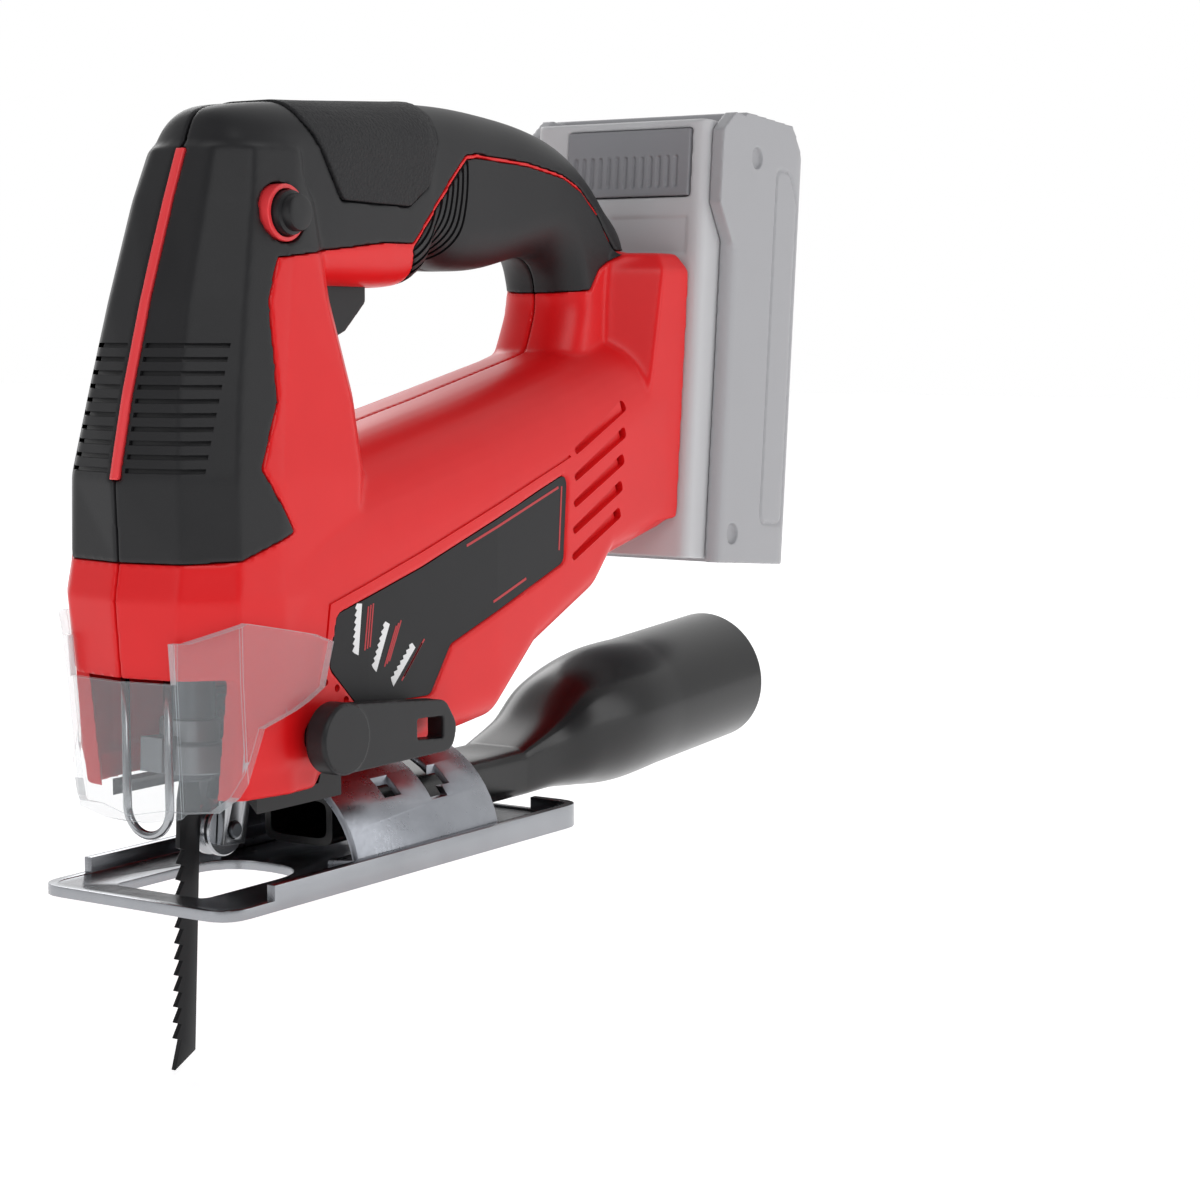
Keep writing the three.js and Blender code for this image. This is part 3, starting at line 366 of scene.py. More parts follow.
shell = recast(outer_form(0), 0.8, 7)
hollow = outer_form(wall)
cradle_radius = 32.9
carve(hollow, slab("cradle_wall", ring_points(0, 0, cradle_radius + wall), "x", -23, 115))
carve(hollow, on_pack(block("recess_wall", -10, 20, -25.2, 25.2, 11, 140)))
carve(shell, hollow)
carve(shell, slab("cradle", ring_points(0, 0, cradle_radius), "x", -23, 115))
carve(shell, on_pack(block("recess", -7.4, 25, -22.4, 22.4, 13.8, 140)))
carve(shell, block("mouth", -100, -65, -60, 60, 0, 57))
carve(shell, block("trigger_slot", -14, 11, -8, 8, 140, 160))
carve(shell, slab("lock_hole", ring_points(*lock_button, 7.4), "y", -60, -5))
carve(shell, slab("lever_hole", ring_points(*lever_hub, 4.4), "y", -60, -13))
for x, z, head in ((-28, 156, 15), (2, 50, 20), (72, 80, 20), (113, 100, 20)):
    carve(shell, slab("screw_well", ring_points(x, z, 3.3), "y", head - 0.3, 60))

red = twin(shell, "red")
carve(red, slab("hood_side", grown(hood_outline, 0.15), "y", -60, 60))
carve(red, slab("grip_side", grown(grip_outline, 0.15), "y", -60, 60))
recess = slab("label_room", grown(rounded(label_outline, 3), 0.35), "y", -60, 60)
carve(red, carve(recess, outer_form(1.5)))
hood = carve(twin(shell, "hood"), slab("hood_part", hood_outline, "y", -60, 60), "INTERSECT")
grips = carve(twin(shell, "grips"), slab("grip_part", grip_outline, "y", -60, 60), "INTERSECT")
drop(shell)

# Finishes are grown in a node tree; numbers that vary over a surface are summed as expressions.
class Flow:
    """A value in a finish's node tree."""

    def __init__(self, tree, socket=None):
        self.tree, self.socket = tree, socket

    def node(self, kind, settings=(), inputs=(), out=0):
        made = self.tree.nodes.new(kind)
        for key, value in dict(settings).items():
            if key == "stops":
                while len(made.color_ramp.elements) < len(value):
                    made.color_ramp.elements.new(0.5)
                for element, (place, colour) in zip(made.color_ramp.elements, value):
                    element.position, element.color = place, colour
            else:
                setattr(made, key, value)
        for key, value in dict(inputs).items():
            if isinstance(value, Flow):
                self.tree.links.new(value.socket, made.inputs[key])
            else:
                made.inputs[key].default_value = value
        return Flow(self.tree, made.outputs[out])

    def sum(self, operation, a, b):
        return self.node("ShaderNodeMath", {"operation": operation}, {0: a, 1: b})

    def __add__(self, other):
        return self.sum("ADD", self, other)

    def __radd__(self, other):
        return self.sum("ADD", other, self)

    def __sub__(self, other):
        return self.sum("SUBTRACT", self, other)

    def __rsub__(self, other):
        return self.sum("SUBTRACT", other, self)

    def __mul__(self, other):
        return self.sum("MULTIPLY", self, other)

    def __rmul__(self, other):
        return self.sum("MULTIPLY", other, self)


def linear(colour):
    """A hex colour as the renderer's numbers."""
    parts = [int(colour[i : i + 2], 16) / 255 for i in (0, 2, 4)]
    return (*[p / 12.92 if p <= 0.04045 else ((p + 0.055) / 1.055) ** 2.4 for p in parts], 1)


def finish(name, colour, rough, metal=0.0, grain=2600, depth=0.012, spread=0.06, mottle=0.05,
           stretch=(1, 1, 1), **fixed):
    """A surface of one colour, clouded a little, with a fine grain that catches the light."""
    made = bpy.data.materials.new(name)
    made.use_nodes = True
    tree = made.node_tree
    skin = tree.nodes["Principled BSDF"]
    flow = Flow(tree)
    place = flow.node("ShaderNodeTexCoord", out=3)
    along = flow.node("ShaderNodeMapping", {}, {"Vector": place, "Scale": stretch})
    fine = flow.node("ShaderNodeTexNoise", {}, {"Vector": along, "Scale": grain, "Detail": 3.0})
    broad = flow.node("ShaderNodeTexNoise", {}, {"Vector": place, "Scale": 60.0, "Detail": 4.0})
    base = linear(colour)
    light = tuple(min(1, c * (1 + mottle) + 0.004) for c in base[:3]) + (1,)
    dark = tuple(c * (1 - mottle) for c in base[:3]) + (1,)
    shade = flow.node("ShaderNodeMix", {"data_type": "RGBA"}, {0: broad, 6: dark, 7: light}, out=2)
    tree.links.new(shade.socket, skin.inputs["Base Color"])
    gloss = rough - spread / 2 + fine * (spread * 0.5) + broad * (spread * 0.5)
    tree.links.new(gloss.socket, skin.inputs["Roughness"])
    bump = flow.node("ShaderNodeBump", {}, {"Height": fine, "Strength": 1.0, "Distance": depth * 0.001})
    tree.links.new(bump.socket, skin.inputs["Normal"])
    skin.inputs["Metallic"].default_value = metal
    for key, value in fixed.items():
        skin.inputs[key.replace("_", " ").title().replace("Ior", "IOR")].default_value = value
    return made


red_abs = finish("red_abs", "dd0f14", 0.36, grain=3000, depth=0.006, specular_ior_level=0.35)
soft_black = finish("soft_black", "18181a", 0.48, grain=2400, depth=0.02, specular_ior_level=0.35)
hard_black = finish("hard_black", "151517", 0.42, grain=2800, depth=0.008, specular_ior_level=0.35)


def dress(obj, body, material, *nodes):
    """Gives a finished piece its material, the body it moves with and the CAD pieces it stands for."""
    obj.data.materials.clear()
    obj.data.materials.append(material)
    obj.name = nodes[0] if nodes else obj.name
    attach(obj, body)
    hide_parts(*nodes)
    return obj


def turned(name, profile, place=(0, 0, 0), axis="z", steps=80):
    """Turned solid: a closed profile of radius and height, swung about an axis through a place."""
    rings = []
    for k in range(steps):
        t = 2 * math.pi * k / steps
        ring = []
        for r, h in profile:
            a, b = r * math.cos(t), r * math.sin(t)
            x, y, z = {"z": (a, b, h), "y": (a, h, b), "x": (h, a, b)}[axis]
            ring.append((x + place[0], y + place[1], z + place[2]))
        rings.append(ring)
    made = loft(name, rings, ring_closed=True)
    made.data.shade_smooth()
    made.data.set_sharp_from_angle(angle=math.radians(32))
    return made


def halves(body, names, material, grain=0.6, softening=3, cuts=()):
    """Splits a moulding on the middle plane, softens its edges, then cuts its fine grooves."""
    for side, name in zip((-1, 1), names):
        half = twin(body, name)
        near, far = on_side(side, 0.12, 70)
        carve(half, block("side", -200, 260, near, far, -80, 260), "INTERSECT")
        recast(half, grain, softening)
        for cut in cuts:
            carve(half, cut, keep=True)
        half.data.set_sharp_from_angle(angle=math.radians(35))
        dress(half, "housing", material, name)
    drop(body, *cuts)


# Five slanted cooling slots behind each label, a fine step line above it, and three dimples that
# mark the lever's places on the left shell.
slots = []
slot_slope = math.radians(24)
for i in range(5):
    half, x, z = (31 - 0.6 * i) / 2, 89 - 0.7 * i, 112.5 - 7.6 * i
    bar = rounded([(-half, -1.1), (half, -1.7), (half, 1.7), (-half, 1.1)], 1.5)
    slot = swung(bar, x, z, slot_slope)
    hole = [p for p in slot if p[0] > x + 5]
    slots += [slab("slot", slot, "y", *on_side(side, 27.5, 45)) for side in (-1, 1)]
    slots += [slab("hole", hole, "y", *on_side(side, 16, 45)) for side in (-1, 1)]
vents = fused(*slots)
step_line = [(-37, 64), (-35.5, 73.5), (2, 84), (72, 105.5)]
step_line += [(72.6, 104.8), (2.2, 83.2), (-34.8, 72.8), (-36.2, 64)]
step = slab("step", step_line, "y", -50, 50)
carve(step, outer_form(0.5))
ball = [(0.01, -1.3), (0.9, -0.9), (1.3, 0), (0.9, 0.9), (0.01, 1.3)]
dimple_places = [(-37, -29.6, 53.6), (-32.8, -29.9, 51.7), (-29.4, -30.1, 48.3)]
dimples = [turned("dimple", ball, place, "y", 20) for place in dimple_places]
halves(red, ("housing_left", "housing_right"), red_abs, cuts=[vents, step] + dimples)

# The hood, the strip over the handle and the rear grips: fine-grained black mouldings set into the
# shells. Rows of grooves cross the hood's front, and curved grooves the front of the rear grips.
groove_levels = [106.4 + 3.3 * i for i in range(10)]
grooves = [block("groove", -95, -50, *on_side(side, 2.8, 21.5), z, z + 1.2)
           for z in groove_levels for side in (-1, 1)]
grooves = carve(fused(*grooves), outer_form(1))
carve(hood, carve(block("stripe_room", -95, -44, -1.7, 1.7, 104.5, 184.8), outer_form(1.6)))
carve(hood, carve(slab("pad_room", grown(pad_outline, 0.3), "y", -60, 60), outer_form(1.5)))
arcs = []
swing = np.linspace(-1.25, 0.12, 24)
for radius in (21 + 2.2 * i for i in range(8)):
    arc = arc_points(6, 182, radius + 0.5, swing) + arc_points(6, 182, radius - 0.5, swing[::-1])
    arcs.append(slab("arc", arc, "y", -40, 40))
arcs = carve(fused(*arcs), outer_form(0.8))
halves(hood, ("hood_left", "hood_right"), soft_black, cuts=[grooves])
halves(grips, ("rear_grip_left", "rear_grip_right"), soft_black, 0.45, 2, cuts=[arcs])

# The thin red stripe down the hood's front: a red moulding pressed into a groove over the joint of
# the two black halves.
stripe = block("stripe", -95, -44, -1.4, 1.4, 104.8, 184.5)
carve(stripe, outer_form(-0.3), "INTERSECT")
carve(stripe, outer_form(1.2))
recast(stripe, 0.3, 3)
red_trim = finish("red_trim", "e8383d", 0.4, grain=3000, depth=0.008)
dress(stripe, "housing", red_trim, "nose_stripe")

# The anti-slip pad over the top of the handle: a black elastomer skin with a coarse sandy grain,
# bonded into a pocket that both halves of the hood share.
pad_black = finish("pad_black", "1a1a1c", 0.7, grain=1300, depth=0.5, spread=0.4, mottle=0.5,
                   specular_ior_level=0.45)
pad = slab("pad", rounded(pad_outline, 3), "y", -60, 60)
carve(pad, outer_form(-0.6), "INTERSECT")
carve(pad, outer_form(1.2))
recast(pad, 0.4, 4)
dress(pad, "housing", pad_black, "grip_pad")

# The side labels: thin printed black panels laid in the shells' recesses, with fine red lines and
# three small blades that show the strokes the lever selects.
label_black = finish("label_black", "161618", 0.5, grain=3200, depth=0.01, specular_ior_level=0.3)
print_white = finish("print_white", "e9e9e9", 0.5, grain=3000, depth=0.004)
print_red = finish("print_red", "b3262d", 0.5, grain=3000, depth=0.004)


def small_blade(x, z, lean, length=13):
    """Printed saw blade standing on a point, leaning by an angle."""
    outline = [(0, 0), (0, length), (-1.9, length)]
    for k in range(7):
        outline += [(-2.5, length - 1.2 - k * 1.8), (-1.7, length - 1.7 - k * 1.8)]
    return swung(outline, x, z, -lean)


def band(a, b, width):
    (ax, az), (bx, bz) = a, b
    length = math.hypot(bx - ax, bz - az)
    nx, nz = -(bz - az) / length * width / 2, (bx - ax) / length * width / 2
    return [(ax - nx, az - nz), (bx - nx, bz - nz), (bx + nx, bz + nz), (ax + nx, az + nz)]


# place and lean of each small blade; ends, rise and number of the lines beside it; the frame
small_blades = [(-24, 59, 0.12), (-17, 54, 0.45), (-10, 49.5, 0.8)]
speed_lines = [
    ((-21.5, 60), (-19.9, 71), 0.3, 3),
    ((-13.6, 55), (-8.6, 65), 0.6, 3),
    ((-6.5, 50.6), (2.2, 59.5), 0.9, 2),
]
frame_lines = [((22, 83.4), (66.5, 96.6)), ((68.2, 96.8), (66.8, 79)), ((34, 67.4), (50, 72.4))]
for side, name in ((-1, "label_left"), (1, "label_right")):
    panel = slab("panel", rounded(label_outline, 3), "y", *on_side(side, 10, 60))
    carve(panel, outer_form(0.5), "INTERSECT")
    carve(panel, outer_form(1.2))
    for face in panel.data.polygons:
        face.use_smooth = False
    marks = [(small_blade(*blade), print_white) for blade in small_blades]
    for (ax, az), (bx, bz), rise, count in speed_lines:
        for k in range(count):
            line = band((ax + k, az + k * rise), (bx + k, bz + k * rise), 0.5)
            marks.append((line, print_red))
    marks += [(band(start, end, 0.7), print_red) for start, end in frame_lines]
    printed = []
    for outline, material in marks:
        mark = slab("mark", outline, "y", *on_side(side, 10, 60))
        carve(mark, outer_form(0.44), "INTERSECT")
        carve(mark, outer_form(0.62))
        if len(mark.data.polygons) == 0:
            drop(mark)
            continue
        mark.data.materials.clear()
        mark.data.materials.append(material)
        printed.append(mark)
    dress(panel, "housing", label_black, name)
    for mark in printed:
        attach(mark, "housing")
        mark.name = name + "_print"

# The trigger, the lock button and its red ring: hard black and red mouldings in the handle. The
# trigger's and the button's flanges hold them inside the shells.
trigger_side = [(-12, 157), (-12, 143.5), (-9.5, 139), (-4, 138.3), (0.5, 140), (9, 147.5), (9, 157)]
trigger = slab("trigger", rounded(trigger_side, 2), "y", -7.6, 7.6)
carve(trigger, slab("finger", ring_points(9, 133.5, 9.3), "y", -20, 20))
fused(trigger, block("flange", -16, 12, -9.5, 9.5, 155.8, 158.2))
recast(trigger, 0.35, 5)
dress(trigger, "trigger", hard_black, "trigger")

lock_place = (lock_button[0], 0, lock_button[1])
cap_side = [(0.01, -27.5), (3.6, -27.5), (4.3, -27.2), (4.6, -26.5), (4.6, -25), (5.4, -24.6)]
stem_side = [(5.5, -24), (5.5, -14.3), (8.4, -14.3), (8.4, -12), (0.01, -12)]
button = turned("button", cap_side + stem_side, lock_place, "y")
dress(button, "lock", hard_black, "lock_button")
bezel_side = [(5.8, -18.5), (5.8, -22.5), (6, -22.8), (6.8, -22.8), (7, -22.5), (7, -18.5)]
bezel = turned("bezel", bezel_side, lock_place, "y")
dress(bezel, "housing", red_trim, "lock_button_bezel")

# The pendulum lever: a black moulding on a round hub with a window near its end, on a spindle
# through the left shell.
lever_side = [(-40.5, 49.2), (0.5, 45.6, 5), (5.5, 38.6, 5), (3.5, 32.1, 5), (-40.5, 31.8)]
lever = slab("lever", rounded(lever_side, 1), "y", -39.4, -34)
fused(lever, slab("hub", ring_points(*lever_hub, 9, 72), "y", -40.2, -34))
carve(lever, slab("step", ring_points(*lever_hub, 10.6, 72), "y", -45, -39.6))
fused(lever, slab("cap", ring_points(*lever_hub, 8.6, 72), "y", -40.2, -36))
lever_window = rounded([(-11.5, 36.6), (-0.5, 35.6), (-0.5, 41.4), (-11.5, 42)], 0.8)
carve(lever, slab("window", lever_window, "y", -45, -30))
recast(lever, 0.3, 4)
fused(lever, slab("spindle", ring_points(*lever_hub, 4), "y", -35, -14))
dress(lever, "lever", hard_black, "pendulum_lever")


# The blade clamp: a turned collar with a release tab round the clamp body at the plunger's end.
# All of it, the blade and the yoke are steel, and lean back by 3 degrees.
bright = finish("bright", "a9abae", 0.22, 1.0, grain=900, depth=0.004, spread=0.16, mottle=0.1,
                stretch=(1, 1, 6))
dark_steel = finish("dark_steel", "55585c", 0.38, 1.0, grain=1400, depth=0.006, spread=0.16, mottle=0.12)
collar_side = [(6.3, 31), (9.1, 31), (9.5, 31.4), (9.5, 38), (9.1, 38.5), (7.8, 38.7)]
collar_side += [(7.5, 39.1), (7.5, 44.2), (7.2, 44.5), (6.3, 44.5)]
collar = turned("collar", collar_side)
tab = block("tab", -13.8, -7, -3.5, 3.5, 32, 40.5)
fused(collar, tab)
collar.data.set_sharp_from_angle(angle=math.radians(32))
phosphate = finish("phosphate", "86888b", 0.4, 1.0, grain=1800, spread=0.2)
dress(on_blade(collar), "collar", phosphate, "clamp_collar")
clamp = turned("clamp", [(0.01, 29), (5.6, 29), (6, 29.4), (6, 55.6), (5.6, 56), (0.01, 56)])
carve(clamp, block("slit", -4.2, 4.2, -1, 1, 20, 47))
clamp.data.set_sharp_from_angle(angle=math.radians(32))
dress(on_blade(clamp), "ram", dark_steel, "blade_clamp")
plunger = turned("plunger", [(0.01, 56.3), (4.1, 56.3), (4.5, 56.7), (4.5, 150.6), (4.1, 151), (0.01, 151)])
dress(on_blade(plunger), "ram", bright, "plunger")


def crisp(node, width, segments=2, angle=32):
    """A machined or pressed piece: its CAD faces with their edges broken by a small bevel."""
    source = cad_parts[node]
    piece = bpy.data.objects.new(node + "_made", source.data.copy())
    to_scene(piece)
    work = bmesh.new()
    work.from_mesh(piece.data)
    bmesh.ops.remove_doubles(work, verts=work.verts, dist=2e-6)
    bmesh.ops.dissolve_limit(work, angle_limit=math.radians(1.5), verts=work.verts, edges=work.edges)
    work.to_mesh(piece.data)
    work.free()
    edge = piece.modifiers.new("edge", "BEVEL")
    edge.width, edge.segments = width * 0.001, segments
    edge.limit_method, edge.angle_limit = "ANGLE", math.radians(angle)
    edge.use_clamp_overlap = True
    settle(piece)
    piece.data.shade_smooth()
    piece.data.set_sharp_from_angle(angle=math.radians(angle))
    return piece


blade_black = finish("blade_black", "161618", 0.34, 0.6, grain=1600, depth=0.006, spread=0.2,
                     stretch=(1, 1, 0.2))
dress(crisp("saw_blade", 0.12), "ram", blade_black, "saw_blade")
dress(crisp("yoke", 0.4), "ram", dark_steel, "yoke")

# The guide roller behind the blade: a turned steel wheel with a groove for the blade's back, on an
# axle in a pressed and plated fork.
roller_place = (-43.514, 0, 15)
wheel_side = [(2.4, -3), (6.6, -3), (7, -2.6), (7, -1.6), (5.5, -0.9)]
wheel_side += [(r, -y) for r, y in wheel_side[::-1]]
wheel = turned("wheel", wheel_side, roller_place, "y")
dress(wheel, "roller", bright, "guide_roller")
axle_side = [(0.01, -6.6), (1.7, -6.6), (2.1, -6.2), (2.1, 6.2), (1.7, 6.6), (0.01, 6.6)]
axle = turned("axle", axle_side, roller_place, "y")
dress(axle, "fork", dark_steel, "roller_axle")
dress(crisp("roller_fork", 0.35, 3), "fork", bright, "roller_fork")

# The finger guard: one bright steel wire bent into a loop in front of the blade, whose two ends
# are held in the nose.
wire_line = [(-68.5, -7, 62), (-68.5, -7, 24)]
wire_line += [(-68.5, -7 * math.cos(t), 24 - 7 * math.sin(t)) for t in np.linspace(0, math.pi, 25)[1:-1]]
wire_line += [(-68.5, 7, 24), (-68.5, 7, 62)]
wire_rings = []
for i, point in enumerate(wire_line):
    before, after = wire_line[max(i - 1, 0)], wire_line[min(i + 1, len(wire_line) - 1)]
    heading = Vector(after) - Vector(before)
    heading.normalize()
    sideways = Vector((1, 0, 0))
    third = heading.cross(sideways)
    wire_rings.append([tuple(Vector(point) + sideways * math.cos(t) * 1.1 + third * math.sin(t) * 1.1)
                       for t in np.linspace(0, 2 * math.pi, 17)[:-1]])
wire = loft("wire", wire_rings)
wire.data.shade_smooth()
dress(wire, "housing", bright, "finger_guard_wire")

# The clear chip guard: a thin faceted polycarbonate cover that clips over the nose. Its cut edges
# gather light; their small faces are painted whiter and less clear than its faces, as a painted highlight.
clear = finish("clear", "b4bbbf", 0.05, grain=800, depth=0.003, spread=0.03, mottle=0.01, alpha=0.17,
               specular_ior_level=0.9)
# A paler, more opaque copy of the clear finish: a painted highlight for the guard's cut edges.
clear_edge_painted_highlight = finish("clear_edge_painted_highlight", "c6cdd1", 0.1, grain=800, depth=0.003, spread=0.03, mottle=0.01,
                    alpha=0.62)
guard = crisp("chip_guard", 0.3, 2, 20)
dress(guard, "guard", clear, "chip_guard")
guard.data.materials.append(clear_edge_painted_highlight)
# Faces under 30 mm², the bevels along the cut edges, take the painted-highlight material.
for face in guard.data.polygons:
    face.material_index = int(face.area < 3e-5)

# The foot: a pressed and zinc-plated steel sole plate with an upstanding rim, and the galvanised
# saddle welded to it, which turns under the body for bevel cuts.
foot_zinc = finish("foot_zinc", "989a9e", 0.24, 1.0, grain=420, depth=0.02, spread=0.22, mottle=0.14,
                   stretch=(0.3, 1, 1))
saddle_zinc = finish("saddle_zinc", "8f9298", 0.3, 1.0, grain=700, depth=0.03, spread=0.35, mottle=0.4)
dress(crisp("foot_plate", 0.7, 3), "foot", foot_zinc, "foot_plate")
dress(crisp("saddle", 0.5, 2), "foot", saddle_zinc, "saddle")

# The suction adapter: a glossy black blow-moulded tube, flat where it enters the saddle and round
# where the hose goes on.
hose_lift = lambda x: 27 - (196.5 - x) * math.tan(math.radians(4))
hose_stations = [
    (-12, 12.6, 11.5, 7, 6, 0),
    (60, 12.6, 11.5, 7, 6, 0),
    (76, 12.6, 11.5, 7, 6, 0),
    (92, 15.8, 13.5, 10.5, 3.5, 1),
    (108, 20, 17.5, 16.5, 2.5, 3),
    (128, hose_lift(128), 20.7, 20.7, 2, 4),
    (150, hose_lift(150), 20.7, 20.7, 2, 4),
    (196.5, 27, 20.7, 20.7, 2, 4),
]


def hose_ring(row, shrink, steps=96):
    x, z, half_y, half_z, power, lean = row
    lean = math.radians(lean)
    ring = []
    for k in range(steps):
        c, s = math.cos(2 * math.pi * k / steps), math.sin(2 * math.pi * k / steps)
        y = math.copysign(abs(c) ** (2 / power), c) * (half_y - shrink)
        up = math.copysign(abs(s) ** (2 / power), s) * (half_z - shrink)
        ring.append((x - up * math.sin(lean), y, z + up * math.cos(lean)))
    return ring


hose_rows = np.vstack([hose_stations[:2], eased(hose_stations[2:7], 8), hose_stations[7:]])
hose_rows[:, 4] = np.maximum(hose_rows[:, 4], 2)
outside = [hose_ring(row, 0) for row in hose_rows]
inside = [hose_ring(row, 2) for row in hose_rows][::-1]
hose = loft("hose", outside + inside, ring_closed=True)
hose.data.shade_smooth()
hose.data.set_sharp_from_angle(angle=math.radians(40))
adapter_black = finish("adapter_black", "0c0c0d", 0.24, grain=1500, depth=0.006, spread=0.1,
                       specular_ior_level=0.4)
dress(hose, "adapter", adapter_black, "suction_adapter")

# The battery pack: a pale grey case in two mouldings on its leaning seat, with a slimmer front tower,
# a raised side panel on each side, screws, and the release button at the top of its front.
pack_pale = finish("pack_pale", "c3c3c5", 0.42, grain=2600, depth=0.006, mottle=0.02)
pack_mid = finish("pack_mid", "a6a6a9", 0.45, grain=2600, depth=0.008, mottle=0.02)
pack_deep = finish("pack_deep", "88888c", 0.5, grain=2600, depth=0.01, mottle=0.03)


def plan(x0, x1, half, front_round, back_round):
    """Outline of the pack from above."""
    left = [(x0, -half, front_round), (x1, -half, back_round)]
    right = [(x1, half, back_round), (x0, half, front_round)]
    return rounded(left + right, 4)


tower = slab("tower", plan(0.3, 16, 31, 4, 1), "z", 1, 133)
carve(tower, slab("top_slope", [(-5, 137), (-5, 129), (8, 137)], "y", -60, 60))
fused(tower, block("spine", -7, 2, -22, 22, 20.4, 88))
carve(tower, block("tower_room", 2.8, 40, -28.5, 28.5, 3.5, 130.5))
for y in (-12, 0, 12):
    carve(tower, block("slit", -8, -1, y - 1.2, y + 1.2, 19.4, 44.4))
carve(tower, block("button_room", -2, 12, -26.3, 18.3, 109.7, 130.3))
for y0, y1 in ((-26, 2), (5, 16)):
    carve(tower, block("window", -2, 0.9, y0, y1, 92, 104))
recast(on_pack(tower), 0.55, 3)
dress(tower, "battery", pack_pale, "pack_case_front")

rear = slab("rear", plan(11, 57, 35.5, 4, 9), "z", 0, 137)
carve(rear, slab("back_chamfer", [(60, 140), (60, 121), (42, 140)], "y", -60, 60))
carve(rear, slab("front_chamfer", [(8, 140), (8, 128), (20, 140)], "y", -60, 60))
ear_side = rounded([(3.5, 130), (3.5, 108), (12, 96), (16, 96), (16, 136), (10, 136)], 2)
for side in (-1, 1):
    fused(rear, slab("ear", ear_side, "y", *on_side(side, 31.3, 35.5)))
carve(rear, block("rear_room", 13.2, 53.5, -33, 33, 2.5, 126))
carve(rear, block("tower_way", 5, 16.3, -31.3, 31.3, -2, 140))
long_side = rounded([(36, 12), (51, 12), (51, 113), (45, 123), (36, 123)], 4)
for side in (-1, 1):
    near, far = on_side(side, 34.7, 40)
    groove = slab("groove", long_side, "y", near, far)
    carve(groove, slab("island", grown(long_side, -1.3), "y", near - 1, far + 1))
    carve(rear, groove)
    for x, z in ((20, 9), (24, 124)):
        carve(rear, slab("well", ring_points(x, z, 3.2), "y", *on_side(side, 34, 40)))
recast(on_pack(rear), 0.5, 3)
dress(rear, "battery", pack_mid, "pack_case_rear")

strip_side = rounded([(40, 20), (46.5, 20), (46.5, 104), (40, 110)], 1.5)
for side in (-1, 1):
    stripe_panel = slab("side_strip", strip_side, "y", *on_side(side, 34.4, 35.2))
    recast(on_pack(stripe_panel), 0.35, 2)
    stripe_panel.data.materials.clear()
    stripe_panel.data.materials.append(pack_deep)
    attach(stripe_panel, "battery")
    stripe_panel.name = "pack_side_strip"

release = block("release", -0.5, 5, -26, 18, 110, 130)
for k in range(13):
    carve(release, block("rib", -2, 0.3, -22 + 3 * k, -20.6 + 3 * k, 112.5, 122))
fused(release, block("release_flange", 3.1, 5.4, -29, 21, 107, 132.3))
recast(on_pack(release), 0.35, 2)
dress(release, "battery_button", pack_deep, "pack_button")

# Pieces kept as they were cut in CAD: screws, bearings, motor, gears, switch and cells. Each takes
# the finish of its own metal or plastic.
bronze = finish("bronze", "a9784a", 0.4, 1.0, grain=1500, depth=0.01, spread=0.2, mottle=0.15)
winding = finish("winding", "a8602f", 0.36, 0.9, grain=900, depth=0.1, spread=0.2, mottle=0.25,
                 stretch=(0.2, 1, 1))
cell_wrap = finish("cell_wrap", "5b8f9a", 0.45, grain=2200, depth=0.006)
board_green = finish("board_green", "2f6b48", 0.5, grain=1800, depth=0.02, mottle=0.2)
kept = {
    bright: ["rear_bearing", "front_bearing", "pinion_shaft", "drive_gear", "fork_pin", "tilt_nut_plate"],
    dark_steel: [f"housing_screw_{i}" for i in range(1, 5)] + ["motor_can", "gear_case", "tilt_bolt"],
    bronze: ["lower_bush", "upper_bush"],
    winding: ["armature_core"],
    hard_black: [
        "motor_end_cap", "cooling_fan", "skirt_left", "skirt_right", "switch_body", "terminal_block",
    ],
    cell_wrap: [f"battery_cell_{i}" for i in range(1, 6)],
    board_green: ["pack_board"],
}
for material, names in kept.items():
    for name in names:
        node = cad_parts[name]
        node.data.materials.clear()
        node.data.materials.append(material)

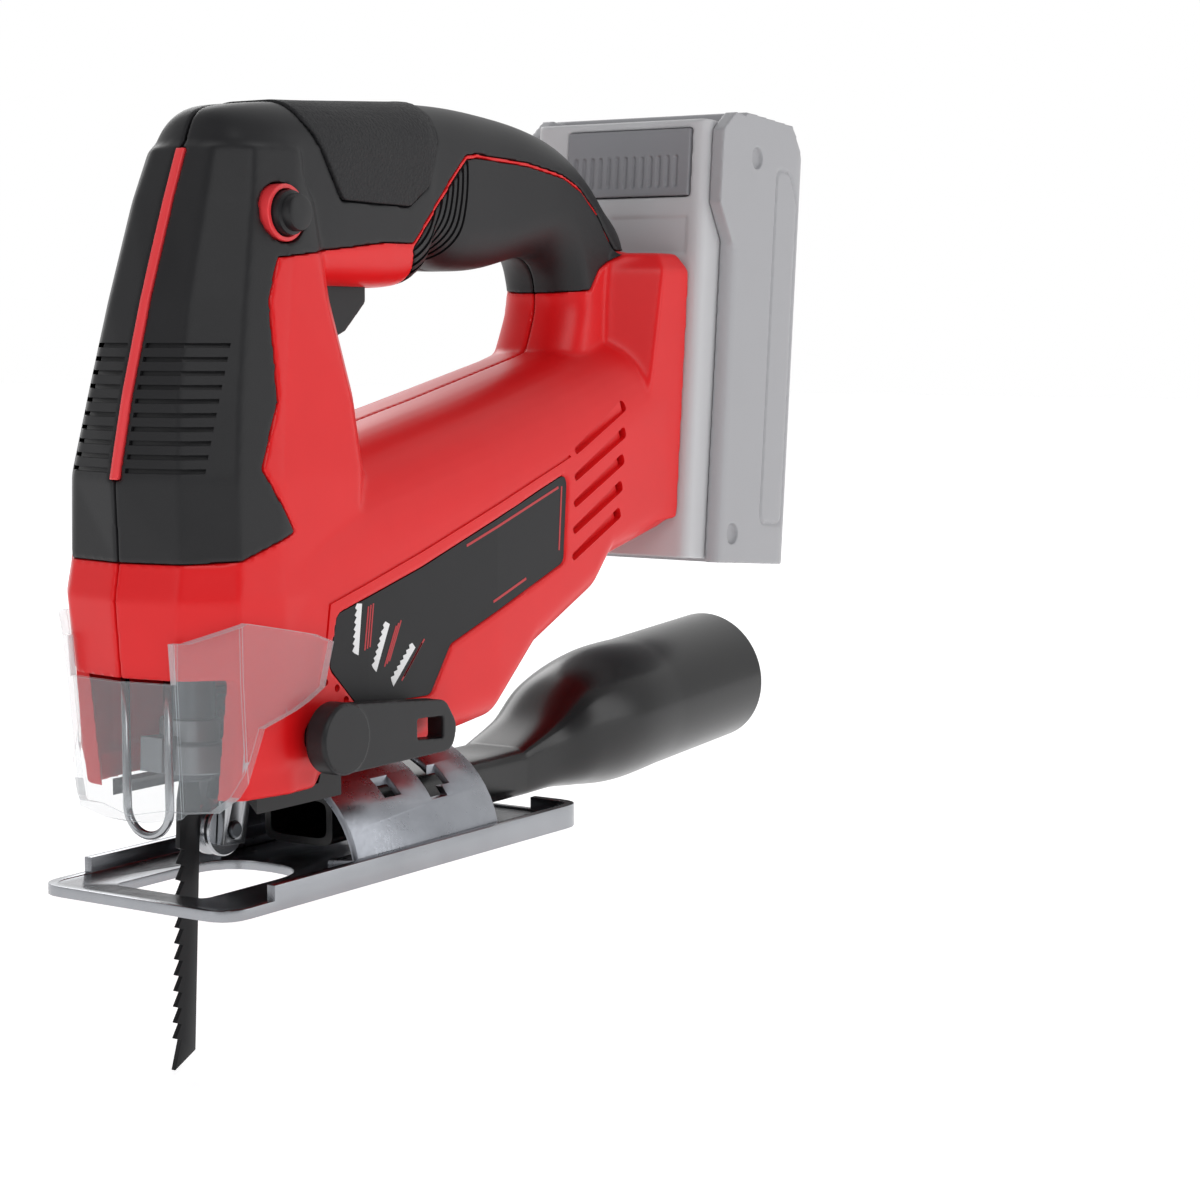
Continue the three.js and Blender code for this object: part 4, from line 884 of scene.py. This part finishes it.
# The table, the lights and the view: a plain pale floor below the blade's tip, large soft lamps, and
# a camera low in front of the left side.
floor_skin = finish("floor_skin", "f4f4f4", 0.8, grain=300, depth=0.01, mottle=0.005, specular_ior_level=0.1,
                    emission_color=(1, 1, 1, 1), emission_strength=0.52)
floor_reach, floor_level = 6000, -46
floor = block("floor", -floor_reach, floor_reach, -floor_reach, floor_reach, floor_level - 10, floor_level)
floor.data.materials.append(floor_skin)

world = bpy.data.worlds.new("studio")
bpy.context.scene.world = world
world.use_nodes = True
sky = Flow(world.node_tree)
facing = sky.node("ShaderNodeVectorMath", {"operation": "DOT_PRODUCT"},
                  {0: sky.node("ShaderNodeTexCoord", out=0), 1: (0.83, 0.55, 0)}, out=1)
stops = [(0.4, (0.24, 0.24, 0.25, 1)), (0.8, (1, 1, 1, 1))]
tone = sky.node("ShaderNodeValToRGB", {"stops": stops}, {0: facing * 0.5 + 0.5})
world.node_tree.links.new(tone.socket, world.node_tree.nodes["Background"].inputs[0])
world.node_tree.nodes["Background"].inputs[1].default_value = 1


def lamp(name, place, aim, size, power):
    light = bpy.data.lights.new(name, "AREA")
    light.shape, light.size, light.size_y, light.energy = "RECTANGLE", size[0], size[1], power
    holder = to_scene(bpy.data.objects.new(name, light))
    holder.location = place
    holder.rotation_euler = (Vector(aim) - Vector(place)).to_track_quat("-Z", "Y").to_euler()


lamp("key", (-0.9, -1.1, 1.2), (0, 0, 0.08), (0.9, 0.9), 7.5)
lamp("side", (0.9, -1.4, 0.6), (0.05, 0, 0.08), (0.5, 1.2), 4)
lamp("front", (-1.6, 0.3, 0.5), (0, 0, 0.1), (0.6, 1.0), 2.2)
lamp("back", (0.8, 1.2, 0.9), (0, 0, 0.1), (0.8, 0.6), 4)

lens = bpy.data.cameras.new("view")
lens.lens, lens.sensor_width = 77.93, 36
camera = to_scene(bpy.data.objects.new("view", lens))
azimuth, elevation = math.radians(-56.61), math.radians(6.0)
level = math.cos(elevation)
back = Vector((math.sin(azimuth) * level, -math.cos(azimuth) * level, math.sin(elevation)))
target, distance = Vector((0.13251, 0, 0.05748)), 0.8
camera.location = target + back * distance
camera.rotation_euler = (-back).to_track_quat("-Z", "Y").to_euler()
lens.clip_start, lens.clip_end = 0.01, 50
bpy.context.scene.camera = camera

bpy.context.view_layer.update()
